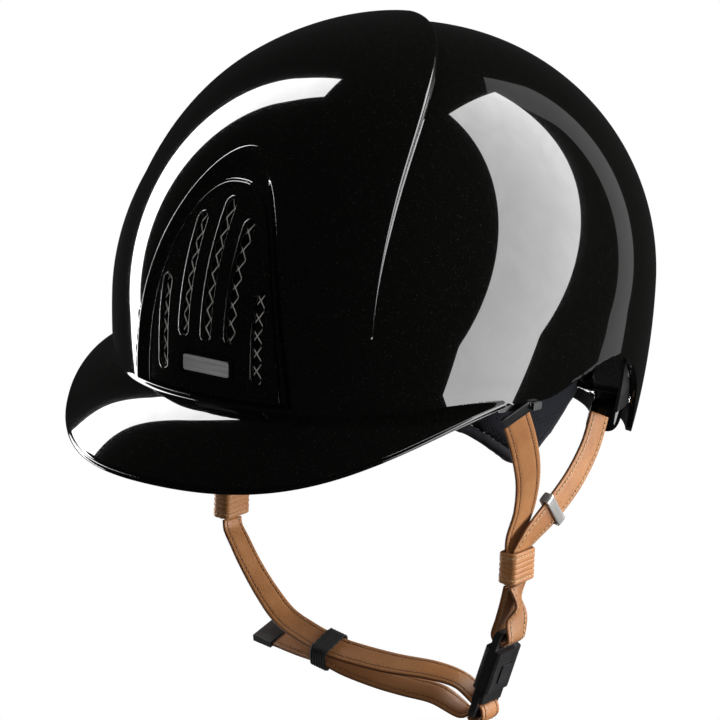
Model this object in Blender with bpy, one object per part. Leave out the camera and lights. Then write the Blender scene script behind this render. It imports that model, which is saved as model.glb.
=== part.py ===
"""Riding helmet: a domed shell with a raised front cowl and an arched air vent, a short drooping peak,
an impact liner with comfort pads, and a stitched leather harness that closes with a push-button buckle.

The wearer faces -Y, their left side is +X, and +Z is up. The origin is the middle of the head opening,
at brow height. Sizes are in millimetres; MM turns them into metres where a mesh is made."""

import math

import bmesh
import bpy
from mathutils import Matrix, Vector

MM = 0.001
GAP = 0.3

# Shell: an egg-shaped plan that is drawn up into an elliptical dome, measured from its widest level.
HALF_WIDTH = 109.0
FRONT_LENGTH = 148.5
REAR_LENGTH = 125.0
WIDEST_Z = 32.0
CROWN_RISE = 115.0
SKIRT_DROP = 196.0
PLAN_POWER = 2.15
SHELL_THICKNESS = 2.6
# The rim seen from the side, as (y, z): level under the peak, arched over the ear, low at the nape.
RIM = [(-190, 2.5), (-60, 2.5), (-38, 2), (-20, 6.5), (5, 11.2), (22, 9), (36, 1.3), (45, -8.7),
       (49.5, -20), (57, -33), (70, -38), (150, -38)]
# The impact liner's lower edge, drawn the same way: just inside the rim, and high over the nape guard.
LINER_EDGE = [(-190, 5.5), (-60, 5.5), (-38, 5), (-20, 9.5), (5, 14.2), (22, 12), (36, 5), (45, -5),
              (52, -14), (60, -17.5), (150, -17.5)]
DOME_AROUND, DOME_UP = 36, 18

# Front cowl: a tongue that rises from the brow to the crown. Angles are seen from the shell's middle.
COWL_HALF_ANGLE = 29.2
COWL_LOW_ANGLE = 3.0
COWL_END_ANGLE = 91.0
COWL_TAPER, COWL_ROUNDNESS = 3.2, 0.7
COWL_HEIGHT = 6.0
COWL_SKIN = 2.2

# Arched vent in the front, its border and its five slots, as (x, low z, high z).
ARCH_FOOT_Z = 3.2
ARCH_INNER = (34.0, 94.7, 0.40)
ARCH_OUTER = (41.0, 107.5, 0.48)
ARCH_POWER = 1.6
RECESS_DEPTH = 2.4
INSERT_THICKNESS = 2.4
SLOT_WIDTH = 4.6
SLOTS = [(-24, 13.3, 53.5), (-12, 30, 81), (0, 29.3, 88.6), (12, 30, 81), (24, 13.3, 53.5)]
BADGE_WIDTH, BADGE_HEIGHT, BADGE_Z = 28.0, 11.3, 18.4

# Peak: its free edge seen from above, and how far it droops in the middle.
PEAK_HALF_WIDTH = 100.9
PEAK_ROOT_Y = -57.0
PEAK_REACH = 127.5
PEAK_POWER = 2.06
PEAK_SIDE_Z = 4.8
PEAK_DROOP = 28.2
PEAK_DROOP_POWER = 3.7
PEAK_JOIN_Z = 5.2
PEAK_THICKNESS = 3.0

# Impact liner and comfort liner, as distances inside the shell's outer face.
LINER_OUTER = -5.4
LINER_INNER = -22.0
PAD_OUTER = -23.4
PAD_INNER = -29.0

# Harness.
STRAP_WIDTH = 14.0
STRAP_THICKNESS = 2.0
KEEPER_Z = -84.0
SPLIT_Z = -92.0
BUCKLE_MOUTH = Vector((66.5, -12.0, -143.0))
BUCKLE_DOWN = Vector((-0.29, 0.0, -0.957)).normalized()
BUCKLE_WIDTH, BUCKLE_DEPTH, BUCKLE_BODY = 19.0, 9.0, 21.0
BAR_THICKNESS = 3.2
LOOP_RADIUS = BAR_THICKNESS * 0.8 + STRAP_THICKNESS / 2 + 3 * GAP
UPPER_BAR_Z, LOWER_BAR_Z = -27.8, 12.8
TONGUE_WIDTH, TONGUE_THICKNESS, TONGUE_LENGTH = 12.0, 2.2, 11.0

BLACK_GLOSS = ((0.006, 0.006, 0.007), 0.05, 0.0)
BLACK_SATIN = ((0.012, 0.012, 0.014), 0.4, 0.0)
BLACK_FABRIC = ((0.012, 0.013, 0.018), 0.9, 0.0)
BLACK_RUBBER = ((0.02, 0.021, 0.023), 0.7, 0.0)
GREY_FOAM = ((0.08, 0.08, 0.085), 0.9, 0.0)
TAN_LEATHER = ((0.42, 0.19, 0.075), 0.5, 0.0)
STEEL = ((0.62, 0.62, 0.63), 0.22, 1.0)

CENTRE = Vector((0, 0, WIDEST_Z))


def clear_scene():
    for obj in list(bpy.data.objects):
        bpy.data.objects.remove(obj, do_unlink=True)


def new_collection(name, hidden):
    collection = bpy.data.collections.new(name)
    bpy.context.scene.collection.children.link(collection)
    collection.hide_render = hidden
    return collection


def finish_of(name, look):
    """The Principled material of this name, made on first use."""
    found = bpy.data.materials.get(name)
    if found:
        return found
    material = bpy.data.materials.new(name)
    material.use_nodes = True
    shader = material.node_tree.nodes["Principled BSDF"]
    colour, roughness, metallic = look
    shader.inputs["Base Color"].default_value = (*colour, 1)
    shader.inputs["Roughness"].default_value = roughness
    shader.inputs["Metallic"].default_value = metallic
    return material


def keep(name, mesh, look):
    """A finished part: a mesh in metres, in the helmet's collection, with its material."""
    obj = bpy.data.objects.new(name, mesh)
    HELMET.objects.link(obj)
    mesh.materials.append(finish_of(*look))
    mesh.shade_smooth()
    mesh.set_sharp_from_angle(angle=math.radians(35))
    return obj


def cutter(name, mesh):
    obj = bpy.data.objects.new(name, mesh)
    CUTTERS.objects.link(obj)
    obj.hide_render = True
    obj.display_type = "WIRE"
    return obj


def boolean(obj, other, operation="DIFFERENCE"):
    modifier = obj.modifiers.new(f"{operation.title()} {other.name}", "BOOLEAN")
    modifier.operation = operation
    modifier.object = other


def mesh_from(name, build):
    """Runs build on an empty bmesh whose units are millimetres, and returns the mesh in metres."""
    bm = bmesh.new()
    build(bm)
    bmesh.ops.scale(bm, vec=(MM, MM, MM), verts=bm.verts)
    mesh = bpy.data.meshes.new(name)
    bm.to_mesh(mesh)
    bm.free()
    return mesh


def slab(name, columns, rows, place):
    """A thin slab of columns by rows faces, bent into shape. place(u, v, level) gives each corner:
    u and v run from 0 to 1, and level is 0 on one face and 1 on the other."""
    def build(bm):
        bmesh.ops.create_grid(bm, x_segments=columns, y_segments=rows, size=0.5)
        made = bmesh.ops.extrude_face_region(bm, geom=bm.faces[:], use_keep_orig=True)
        raised = [item for item in made["geom"] if isinstance(item, bmesh.types.BMVert)]
        bmesh.ops.translate(bm, verts=raised, vec=(0, 0, 1))
        for vertex in bm.verts:
            u, v, level = vertex.co
            vertex.co = place(u + 0.5, v + 0.5, level)
        bmesh.ops.recalc_face_normals(bm, faces=bm.faces)
        if bm.calc_volume(signed=True) < 0:
            bmesh.ops.reverse_faces(bm, faces=bm.faces)
    return mesh_from(name, build)


def mix(a, b, t):
    return a + (b - a) * t


def smooth_path(points, t):
    """The point at t (0 to 1) of a Catmull-Rom curve through rows of numbers."""
    place = t * (len(points) - 1)
    i = min(int(place), len(points) - 2)
    f = place - i
    rows = [Vector(points[max(0, min(len(points) - 1, i + k))]) for k in (-1, 0, 1, 2)]
    p0, p1, p2, p3 = rows
    return 0.5 * (2 * p1 + (p2 - p0) * f + (2 * p0 - 5 * p1 + 4 * p2 - p3) * f**2
                  + (3 * p1 - p0 - 3 * p2 + p3) * f**3)


def dome_point(direction, offset):
    """The point in this direction from the shell's middle, offset from its outer face."""
    d = direction.normalized()
    length = FRONT_LENGTH if d.y < 0 else REAR_LENGTH
    plan = (abs(d.x / HALF_WIDTH) ** PLAN_POWER + abs(d.y / length) ** PLAN_POWER) ** (1 / PLAN_POWER)
    height = abs(d.z) / (CROWN_RISE if d.z > 0 else SKIRT_DROP)
    return CENTRE + d * (1 / math.hypot(plan, height) + offset)


def wall_point(bearing, z, offset):
    """The point at height z on the wall, at this bearing from the front (degrees, + to the left)."""
    a = math.radians(bearing)
    length = (FRONT_LENGTH if math.cos(a) > 0 else REAR_LENGTH) + offset
    rise = (CROWN_RISE if z > WIDEST_Z else SKIRT_DROP) + offset
    plan = (abs(math.sin(a) / (HALF_WIDTH + offset)) ** PLAN_POWER
            + abs(math.cos(a) / length) ** PLAN_POWER) ** (-1 / PLAN_POWER)
    plan *= math.sqrt(1 - ((z - WIDEST_Z) / rise) ** 2)
    return Vector((math.sin(a) * plan, -math.cos(a) * plan, z))


def front_point(x, z, offset):
    """The point on the front wall straight behind (x, z)."""
    width, length = HALF_WIDTH + offset, FRONT_LENGTH + offset
    rise = (CROWN_RISE if z > WIDEST_Z else SKIRT_DROP) + offset
    level = math.sqrt(1 - ((z - WIDEST_Z) / rise) ** 2)
    y = length * (level**PLAN_POWER - abs(x / width) ** PLAN_POWER) ** (1 / PLAN_POWER)
    return Vector((x, -y, z))


def ball(name, offset):
    """The whole closed egg at this offset from the shell's outer face."""
    def build(bm):
        bmesh.ops.create_uvsphere(bm, u_segments=DOME_AROUND, v_segments=DOME_UP, radius=1)
        for vertex in bm.verts:
            vertex.co = dome_point(vertex.co, offset)
    return mesh_from(name, build)


def prism(name, outlines, low, high, frame):
    """A flat outline, with any holes in it, drawn from low to high along frame's third axis.
    frame turns the outline's x, y and height into place."""
    curve = bpy.data.curves.new(name, "CURVE")
    curve.dimensions = "2D"
    curve.fill_mode = "BOTH"
    curve.extrude = (high - low) / 2 * MM
    for outline in outlines:
        spline = curve.splines.new("POLY")
        spline.points.add(len(outline) - 1)
        for point, (x, y) in zip(spline.points, outline):
            point.co = (x * MM, y * MM, 0, 1)
        spline.use_cyclic_u = True
    helper = bpy.data.objects.new(name, curve)
    CUTTERS.objects.link(helper)
    bpy.context.view_layer.update()
    graph = bpy.context.evaluated_depsgraph_get()
    mesh = bpy.data.meshes.new_from_object(helper.evaluated_get(graph))
    bpy.data.objects.remove(helper)
    bm = bmesh.new()
    bm.from_mesh(mesh)
    bmesh.ops.remove_doubles(bm, verts=bm.verts, dist=0.00001)
    bmesh.ops.translate(bm, verts=bm.verts, vec=(0, 0, (low + high) / 2 * MM))
    bmesh.ops.transform(bm, matrix=frame, verts=bm.verts)
    bmesh.ops.recalc_face_normals(bm, faces=bm.faces)
    bm.to_mesh(mesh)
    bm.free()
    return mesh


def frame_at(origin, across, along):
    """Axes x = across, y = along and z square to both, with this origin in millimetres."""
    x = across.normalized()
    z = x.cross(along).normalized()
    y = z.cross(x)
    return Matrix.Translation(origin * MM) @ Matrix((x, y, z)).transposed().to_4x4()


def round_rectangle(width, height, radius, steps=3):
    corners = [(1, 1), (-1, 1), (-1, -1), (1, -1)]
    outline = []
    for quarter, (sx, sy) in enumerate(corners):
        for k in range(steps + 1):
            a = math.radians(90 * (quarter + k / steps))
            outline.append((sx * (width / 2 - radius) + radius * math.cos(a),
                            sy * (height / 2 - radius) + radius * math.sin(a)))
    return outline


def cylinder(name, centre, axis, radius, length, sides=16):
    def build(bm):
        bmesh.ops.create_cone(bm, cap_ends=True, segments=sides, radius1=radius, radius2=radius,
                              depth=length)
        turn = Vector((0, 0, 1)).rotation_difference(axis).to_matrix().to_4x4()
        bmesh.ops.transform(bm, matrix=Matrix.Translation(centre) @ turn, verts=bm.verts)
    return mesh_from(name, build)


# ---- shell, cowl and peak ----

def below_edge(name, edge, steps=40):
    """Everything under an edge that is given by its side profile."""
    top = [tuple(smooth_path(edge, k / steps)) for k in range(steps + 1)]
    outline = top + [(top[-1][0], -200), (top[0][0], -200)]
    sideways = Matrix(((0, 0, 1, 0), (1, 0, 0, 0), (0, 1, 0, 0), (0, 0, 0, 1)))
    return cutter(name, prism(name, [outline], -130, 130, sideways))


def arch_outline(shape, grow, foot, steps=12):
    half, top, power = shape
    half, top = half + grow, top + grow
    side = []
    for k in range(steps + 1):
        u = math.sin(math.radians(90 * k / steps))
        z = mix(ARCH_FOOT_Z, top, u)
        side.append((half * (1 - u**ARCH_POWER) ** power if k < steps else 0.0, z))
    side[0] = (side[0][0], foot)
    return side + [(-x, z) for x, z in reversed(side[:-1])]


FACING_FRONT = Matrix(((1, 0, 0, 0), (0, 0, -1, 0), (0, 1, 0, 0), (0, 0, 0, 1)))


def arch_cutter(name, grow):
    outline = arch_outline(ARCH_OUTER, grow, -20)
    return cutter(name, prism(name, [outline], 60, 220, FACING_FRONT))


def make_shell():
    shell = keep("outer_shell", ball("outer_shell", 0), ("gloss_black", BLACK_GLOSS))
    boolean(shell, cutter("shell_inside", ball("shell_inside", -SHELL_THICKNESS)))
    boolean(shell, below_edge("under_rim", RIM))
    boolean(shell, arch_cutter("shell_arch", GAP))


def cowl_edge(angle):
    """Half the cowl's width, as an angle, at this angle above the brow."""
    return COWL_HALF_ANGLE * (1 - (angle / COWL_END_ANGLE) ** COWL_TAPER) ** COWL_ROUNDNESS


def cowl_rise(angle):
    """The cowl's height over the shell: nothing at the brow, full height from the forehead up."""
    t = max(0.0, min(1.0, (angle - 1) / 62))
    return COWL_HEIGHT * t * t * (3 - 2 * t)


def cowl_direction(angle, side):
    up, out = math.radians(angle), math.radians(side * cowl_edge(angle))
    return Vector((math.sin(out), -math.cos(out) * math.cos(up), math.cos(out) * math.sin(up)))


def make_cowl():
    def place(u, v, level):
        angle = mix(COWL_LOW_ANGLE, COWL_END_ANGLE - 0.6, v)
        side = 2 * u - 1
        top = max(GAP + 0.6, cowl_rise(angle))
        duct = abs(side) < 0.8 and angle > 50
        under = max(GAP, top - COWL_SKIN) if duct else GAP
        return dome_point(cowl_direction(angle, side), mix(under, top, level))
    cowl = keep("front_cowl", slab("front_cowl", 12, 18, place), ("gloss_black", BLACK_GLOSS))
    boolean(cowl, arch_cutter("cowl_arch", GAP))


def make_outlet_mesh():
    """A fine screen that closes the gap under the cowl's rear lip."""
    def place(u, v, level):
        angle = mix(82.0, 83.0, level)
        top = cowl_rise(angle) - COWL_SKIN - GAP
        return dome_point(cowl_direction(angle, mix(-0.62, 0.62, u)), mix(2 * GAP, top, v))
    keep("outlet_screen", slab("outlet_screen", 6, 1, place), ("screen_metal", STEEL))


def peak_edge(turn):
    """A point on the peak's free edge; turn runs from -90 to 90 degrees."""
    c, s = math.cos(math.radians(turn)), math.sin(math.radians(turn))
    reach = (abs(c) ** PEAK_POWER + abs(s) ** PEAK_POWER) ** (-1 / PEAK_POWER)
    x = PEAK_HALF_WIDTH * s * reach
    droop = PEAK_DROOP * (1 - abs(x / PEAK_HALF_WIDTH) ** PEAK_DROOP_POWER)
    return Vector((x, PEAK_ROOT_Y - PEAK_REACH * c * reach, PEAK_SIDE_Z - droop))


def make_peak():
    def place(u, v, level):
        turn = mix(-86, 86, u)
        root = wall_point(turn * 0.66, PEAK_JOIN_Z, -2.0)
        edge = peak_edge(turn)
        bulge = 3.0 * math.sin(math.pi * v) * math.cos(math.radians(turn))
        return root.lerp(edge, v) + Vector((0, 0, bulge + (level - 1) * mix(PEAK_THICKNESS, 2.2, v)))
    peak = keep("peak", slab("peak", 24, 4, place), ("gloss_black", BLACK_GLOSS))
    boolean(peak, cutter("peak_root", ball("peak_root", 4 * GAP)))


def make_peak_clip(side, name):
    """A small moulded clip that hooks each end of the peak to the shell's rim."""
    def place(u, v, level):
        return wall_point(side * mix(64.6, 67.0, u), mix(-1.2, 2.0, v), mix(GAP, 2.4, level))
    keep(name, slab(name, 2, 1, place), ("satin_black", BLACK_SATIN))


# ---- front vent ----

def vent_floor(z):
    """How far the vent's face lies from the shell's outer face, at this height."""
    angle = math.degrees(math.atan2(z - WIDEST_Z, FRONT_LENGTH * 0.9))
    return cowl_rise(max(angle, 0)) - RECESS_DEPTH


def slot_outline(x, low, high, width):
    r = width / 2
    arc = [math.radians(15 + 30 * k) for k in range(6)]
    top = [(x + r * math.cos(a), high - r + r * math.sin(a)) for a in arc]
    return top + [(2 * x - px, low + high - pz) for px, pz in top]


def arch_slab(name, shape, shrink, low, high):
    """A curved plate of the arch's outline, between two distances from the vent's face."""
    half, top, power = shape
    def place(u, v, level):
        rise = math.sin(math.radians(mix(0, 84, v)))
        z = mix(ARCH_FOOT_Z, top - shrink, rise)
        x = (2 * u - 1) * ((half - shrink) * (1 - rise**ARCH_POWER) ** power)
        return front_point(x, z, vent_floor(z) + mix(low, high, level))
    return slab(name, 8, 9, place)


def make_vent():
    """The moulded insert: a slotted face with a sloping border that meets the shell."""
    insert = keep("vent_insert", arch_slab("vent_insert", ARCH_INNER, -0.4, -INSERT_THICKNESS, 0),
                  ("gloss_black", BLACK_GLOSS))
    inner = arch_outline(ARCH_INNER, -0.6, ARCH_FOOT_Z, 11)
    outer = arch_outline(ARCH_OUTER, -0.2, ARCH_FOOT_Z, 11)

    def border(u, v, level):
        k = round(u * (len(inner) - 1))
        (xi, zi), (xo, zo) = inner[k], outer[k]
        x, z = mix(xi, xo, v), mix(zi, zo, v)
        depth = mix(vent_floor(zi), cowl_rise(max(0.0, math.degrees(math.atan2(zo - WIDEST_Z, 125)))), v)
        return front_point(x, z, depth - (1 - level) * INSERT_THICKNESS)
    boolean(insert, cutter("vent_border", slab("vent_border", len(inner) - 1, 1, border)), "UNION")
    slots = []
    for number, (x, low, high) in enumerate(SLOTS, 1):
        outline = slot_outline(x, low, high, SLOT_WIDTH)
        slots.append(cutter(f"slot_{number}", prism("slot", [outline], 60, 220, FACING_FRONT)))
        boolean(insert, slots[-1])
    pocket = round_rectangle(BADGE_WIDTH + 2 * GAP, BADGE_HEIGHT + 2 * GAP, 2.6)
    boolean(insert, cutter("badge_pocket", prism("badge_pocket", [pocket], -8, 8, badge_frame_axes())))
    mesh = arch_slab("vent_screen", ARCH_INNER, 1.2, -INSERT_THICKNESS - 1.4, -INSERT_THICKNESS - GAP)
    screen = keep("vent_screen", mesh, ("screen_metal", STEEL))
    clear = round_rectangle(BADGE_WIDTH + 3, BADGE_HEIGHT + 3, 2.6)
    boolean(screen, cutter("screen_pocket", prism("screen_pocket", [clear], -12, 8, badge_frame_axes())))
    return slots


def badge_frame_axes():
    low, high = (front_point(0, BADGE_Z + dz, -RECESS_DEPTH) for dz in (-4, 4))
    return frame_at((low + high) / 2, Vector((1, 0, 0)), high - low)


def make_badge():
    """A recessed holder with a plain plate, at the foot of the vent."""
    axes = badge_frame_axes()
    outline = round_rectangle(BADGE_WIDTH, BADGE_HEIGHT, 2.4)
    holder = keep("badge_holder", prism("badge_holder", [outline], -3.6, 0.5, axes),
                  ("gloss_black", BLACK_GLOSS))
    pocket = round_rectangle(BADGE_WIDTH - 2.8, BADGE_HEIGHT - 2.8, 1.4)
    boolean(holder, cutter("plate_pocket", prism("plate_pocket", [pocket], -1.4, 3, axes)))
    plate = round_rectangle(BADGE_WIDTH - 4.4, BADGE_HEIGHT - 4.4, 1.0)
    keep("badge_plate", prism("badge_plate", [plate], -1.4 + GAP, -0.2, axes), ("brushed_plate", STEEL))


# ---- liners ----

def make_impact_liner(slots):
    liner = keep("impact_liner", ball("impact_liner", LINER_OUTER), ("foam", GREY_FOAM))
    boolean(liner, cutter("liner_inside", ball("liner_inside", LINER_INNER)))
    boolean(liner, below_edge("under_liner", LINER_EDGE))
    well = cutter("vent_well", arch_cutter("well_arch", 1.5).data.copy())
    boolean(well, cutter("well_floor", ball("well_floor", -12.0)))
    boolean(liner, well)
    for slot in slots:
        boolean(liner, slot)


def make_crown_pad():
    def place(u, v, level):
        across, ahead = (2 * u - 1) * 34, mix(-38, 38, v)
        a, b = math.radians(across), math.radians(ahead)
        direction = Vector((math.tan(a), math.tan(b), 1))
        return dome_point(direction, mix(PAD_INNER, PAD_OUTER, level))
    keep("crown_pad", slab("crown_pad", 8, 10, place), ("mesh_fabric", BLACK_FABRIC))


def pad(name, bearings, low, high, look, columns=8, outer=PAD_OUTER, inner=PAD_INNER, rows=2):
    """A pad on the wall between two bearings. low and high give its edges' heights."""
    def place(u, v, level):
        bearing = mix(*bearings, u)
        z = mix(low(u), high(u), v)
        return wall_point(bearing, z, mix(inner, outer, level))
    return keep(name, slab(name, columns, rows, place), look)


EAR_EDGE = [(-11, 0), (-19, 0), (-28, 0), (-35, 0), (-30, 0), (-20, 0), (-10, 0)]


def make_pads():
    cloth = ("mesh_fabric", BLACK_FABRIC)
    pad("brow_pad", (-47, 47), lambda u: 5.5, lambda u: 34, cloth, 12)
    pad("nape_pad", (128, 232), lambda u: -16, lambda u: 22, cloth, 12)
    for side, name in ((1, "left"), (-1, "right")):
        start, end = (49.5, 108.0) if side > 0 else (-49.5, -108.0)
        pad(f"side_pad_{name}", (start, end), lambda u: smooth_path(EAR_EDGE, u).x + 2.2,
            lambda u: mix(34, 44, u), cloth, 14, rows=3)
        pad(f"pad_binding_{name}", (start, end), lambda u: smooth_path(EAR_EDGE, u).x - 2.0,
            lambda u: smooth_path(EAR_EDGE, u).x + 1.9, ("velvet", BLACK_FABRIC), 14, rows=1)


def make_nape_guard():
    """The glossy moulding that closes the liner's lower rear edge."""
    pad("nape_guard", (118, 242), lambda u: -34, lambda u: -19, ("gloss_black", BLACK_GLOSS), 16,
        outer=-6.0, inner=-20.0, rows=1)


# ---- harness ----

def ribbon(name, route, look, width=STRAP_WIDTH, thickness=STRAP_THICKNESS, pieces=20):
    """A flat strap along a route. Each row is a point and the direction across the strap there."""
    def place(u, v, level):
        here = smooth_path(route, u)
        ahead = smooth_path(route, min(1, u + 0.01)) - smooth_path(route, max(0, u - 0.01))
        point = Vector(here[:3])
        run = Vector(ahead[:3]).normalized()
        across = Vector(here[3:])
        across = (across - run * across.dot(run)).normalized()
        outward = run.cross(across)
        return point + across * width * (v - 0.5) + outward * thickness * (level - 0.5)
    return keep(name, slab(name, pieces, 1, place), look)


def mirrored(route):
    return [(-x, y, z, -ax, ay, az) for x, y, z, ax, ay, az in route]


LEATHER = ("tan_leather", TAN_LEATHER)
FRONT_STRAP = [(97.8, -53, -4.2, 0.33, 0.93, 0.1), (94.5, -39.5, -20.5, 0.35, 0.9, 0.25),
               (88.4, -24.5, -39, 0.3, 0.9, 0.3), (82, -15.5, -56, 0.2, 0.95, 0.2), (77.4, -14.2, -70, 0.1, 1, 0.05),
               (76.4, -13.2, -80, 0.03, 1, 0), (76.2, -13, SPLIT_Z, 0, 1, 0)]
REAR_STRAP = [(89, 33, -22, 0.1, 0.75, -0.6), (88.5, 27, -36, 0.1, 0.7, -0.65), (87.5, 16, -49, 0.1, 0.72, -0.6),
              (85.2, 2.5, -60.5, 0.08, 0.8, -0.5), (81.8, -9.2, -70.5, 0.05, 0.99, -0.1),
              (79.1, -12.9, -79, 0.02, 1, 0), (78.7, -13, SPLIT_Z, 0, 1, 0)]


def make_harness_side(side, name):
    turn = (lambda route: route) if side > 0 else mirrored
    ribbon(f"strap_front_{name}", turn(FRONT_STRAP), LEATHER)
    ribbon(f"strap_rear_{name}", turn(REAR_STRAP), LEATHER)
    for place, bearing, low in (("front", 61.5, -1.5), ("rear", 112.0, -19.0)):
        anchor(f"anchor_{place}_{name}", side * bearing, low)
    slide_frame(side, name)
    keeper_loop(side, name)


def anchor(name, bearing, low):
    """A moulded tab between shell and liner that carries a strap, with its rivet."""
    def place(u, v, level):
        return wall_point(bearing + mix(-4.6, 4.6, u), mix(low, low + 24, v), mix(-4.7, -3.3, level))
    tab = keep(name, slab(name, 3, 3, place), ("satin_black", BLACK_SATIN))
    middle = wall_point(bearing, low + 17, -4.0)
    outward = (wall_point(bearing, low + 17, 5) - middle).normalized()
    boolean(tab, cutter(f"{name}_hole", cylinder("hole", middle, outward, 3.0, 12)))
    keep(name.replace("anchor", "rivet"), cylinder("rivet", middle, outward, 2.6, 1.0), ("steel", STEEL))


def tube_section(name, width, depth, wall, height, frame, look):
    """A flat ring that a strap runs through: a round-cornered tube, height long."""
    outer = round_rectangle(width, depth, 0.8 + wall)
    inner = round_rectangle(width - 2 * wall, depth - 2 * wall, 0.8)
    return keep(name, prism(name, [outer, inner], -height / 2, height / 2, frame), look)


def along_route(route, t):
    here, ahead = smooth_path(route, t), smooth_path(route, t + 0.02)
    run = (Vector(ahead[:3]) - Vector(here[:3])).normalized()
    across = Vector(here[3:])
    return Vector(here[:3]), run, (across - run * across.dot(run)).normalized()


def slide_frame(side, name):
    """A polished metal slide on the rear strap, just above the join."""
    route = REAR_STRAP if side > 0 else mirrored(REAR_STRAP)
    point, run, across = along_route(route, 0.5)
    frame = frame_at(point, across, across.cross(run))
    tube_section(f"slide_{name}", STRAP_WIDTH + 3.6, STRAP_THICKNESS + 3.2, 1.0, 5.0, frame,
                 ("polished_steel", STEEL))


def keeper_loop(side, name):
    """The leather loop that gathers front and rear straps."""
    centre = Vector((side * 77.5, -13.0, KEEPER_Z))
    frame = frame_at(centre, Vector((0, 1, 0)), Vector((1, 0, 0)))
    tube_section(f"keeper_{name}", STRAP_WIDTH + 6.6, 11.2, 1.8, 14.5, frame, LEATHER)



def buckle_axes():
    """x across the buckle, y outward from the cheek and z down towards the chin strap."""
    across = Vector((0, 1, 0))
    return frame_at(BUCKLE_MOUTH, across, BUCKLE_DOWN.cross(across))


def buckle_point(outward, down):
    """A point in the buckle's middle plane, in millimetres, with the strap's direction across."""
    x, y, z = buckle_axes() @ Vector((0, outward * MM, down * MM)) / MM
    return (x, y, z, 0, 1, 0)


def make_buckle_loop():
    """The strap's return: down through the left keeper, round the buckle's upper bar and back up."""
    turn = LOOP_RADIUS
    round_bar = [buckle_point(-turn * math.cos(a), UPPER_BAR_Z + turn * math.sin(a))
                 for a in (math.radians(30 * k) for k in range(7))]
    start = [(76.2, -13, SPLIT_Z - 0.9, 0, 1, 0), (74.4, -12.6, -101, 0, 1, 0),
             (72.2, -12.1, -109, 0, 1, 0)]
    end = [(78.6, -12.1, -109, 0, 1, 0), (79.3, -12.6, -101, 0, 1, 0),
           (78.7, -13, SPLIT_Z - 0.9, 0, 1, 0)]
    ribbon("strap_buckle_loop", start + round_bar + end, LEATHER, pieces=36)


def box_in_buckle(name, width, depth, z_low, z_high, radius=1.0, y=0.0):
    outline = [(x, py + y) for x, py in round_rectangle(width, depth, radius)]
    return prism(name, [outline], z_low, z_high, buckle_axes())


def plate_in_buckle(name, outlines, y_low, y_high):
    """An outline drawn in the buckle's wide face (across, down), from y_low to y_high outward."""
    turned = buckle_axes() @ Matrix(((1, 0, 0, 0), (0, 0, 1, 0), (0, 1, 0, 0), (0, 0, 0, 1)))
    return prism(name, outlines, y_low, y_high, turned)


def shifted(outline, dz):
    return [(x, z + dz) for x, z in outline]


def make_buckle():
    look = ("buckle_plastic", BLACK_RUBBER)
    housing = keep("buckle_housing", box_in_buckle("buckle_housing", BUCKLE_WIDTH, BUCKLE_DEPTH,
                                                   -BUCKLE_BODY, 0, 2.6), look)
    ring = shifted(round_rectangle(BUCKLE_WIDTH, 12.4, 2.4), UPPER_BAR_Z + 4.6)
    eye = shifted(round_rectangle(STRAP_WIDTH + 0.8, 4.7, 0.8), UPPER_BAR_Z + 3.95)
    loop = cutter("housing_loop", plate_in_buckle("loop", [ring], -BAR_THICKNESS / 2, BAR_THICKNESS / 2))
    boolean(housing, loop, "UNION")
    boolean(housing, cutter("housing_eye", plate_in_buckle("eye", [eye], -9, 9)))
    cavity = box_in_buckle("cavity", TONGUE_WIDTH + 1.6, TONGUE_THICKNESS + 2.2, -15, 4, 0.8)
    boolean(housing, cutter("housing_cavity", cavity))
    window = shifted(round_rectangle(9.0, 10.0, 1.6), -9.0)
    boolean(housing, cutter("button_window", plate_in_buckle("window", [window], 0.5, 9)))
    button = shifted(round_rectangle(8.2, 9.2, 1.4), -9.0)
    keep("release_button", plate_in_buckle("button", [button], 3.0, 5.2), ("satin_black", BLACK_SATIN))


def make_tongue():
    """The plug that clicks into the buckle, with the bar that the chin strap goes round."""
    look = ("buckle_plastic", BLACK_RUBBER)
    tongue = keep("buckle_tongue", box_in_buckle("tongue", BUCKLE_WIDTH - 1.6, 6.4, 0.8, 6.6, 1.8), look)
    blade = box_in_buckle("blade", TONGUE_WIDTH, TONGUE_THICKNESS, -TONGUE_LENGTH, 3, 0.6)
    boolean(tongue, cutter("tongue_blade", blade), "UNION")
    ring = shifted(round_rectangle(BUCKLE_WIDTH, 12.0, 2.4), 8.4)
    loop = cutter("tongue_loop", plate_in_buckle("loop", [ring], -BAR_THICKNESS / 2, BAR_THICKNESS / 2))
    boolean(tongue, loop, "UNION")
    eye = shifted(round_rectangle(STRAP_WIDTH + 0.8, 4.6, 0.8), LOWER_BAR_Z - 3.9)
    boolean(tongue, cutter("tongue_eye", plate_in_buckle("eye", [eye], -9, 9)))


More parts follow.
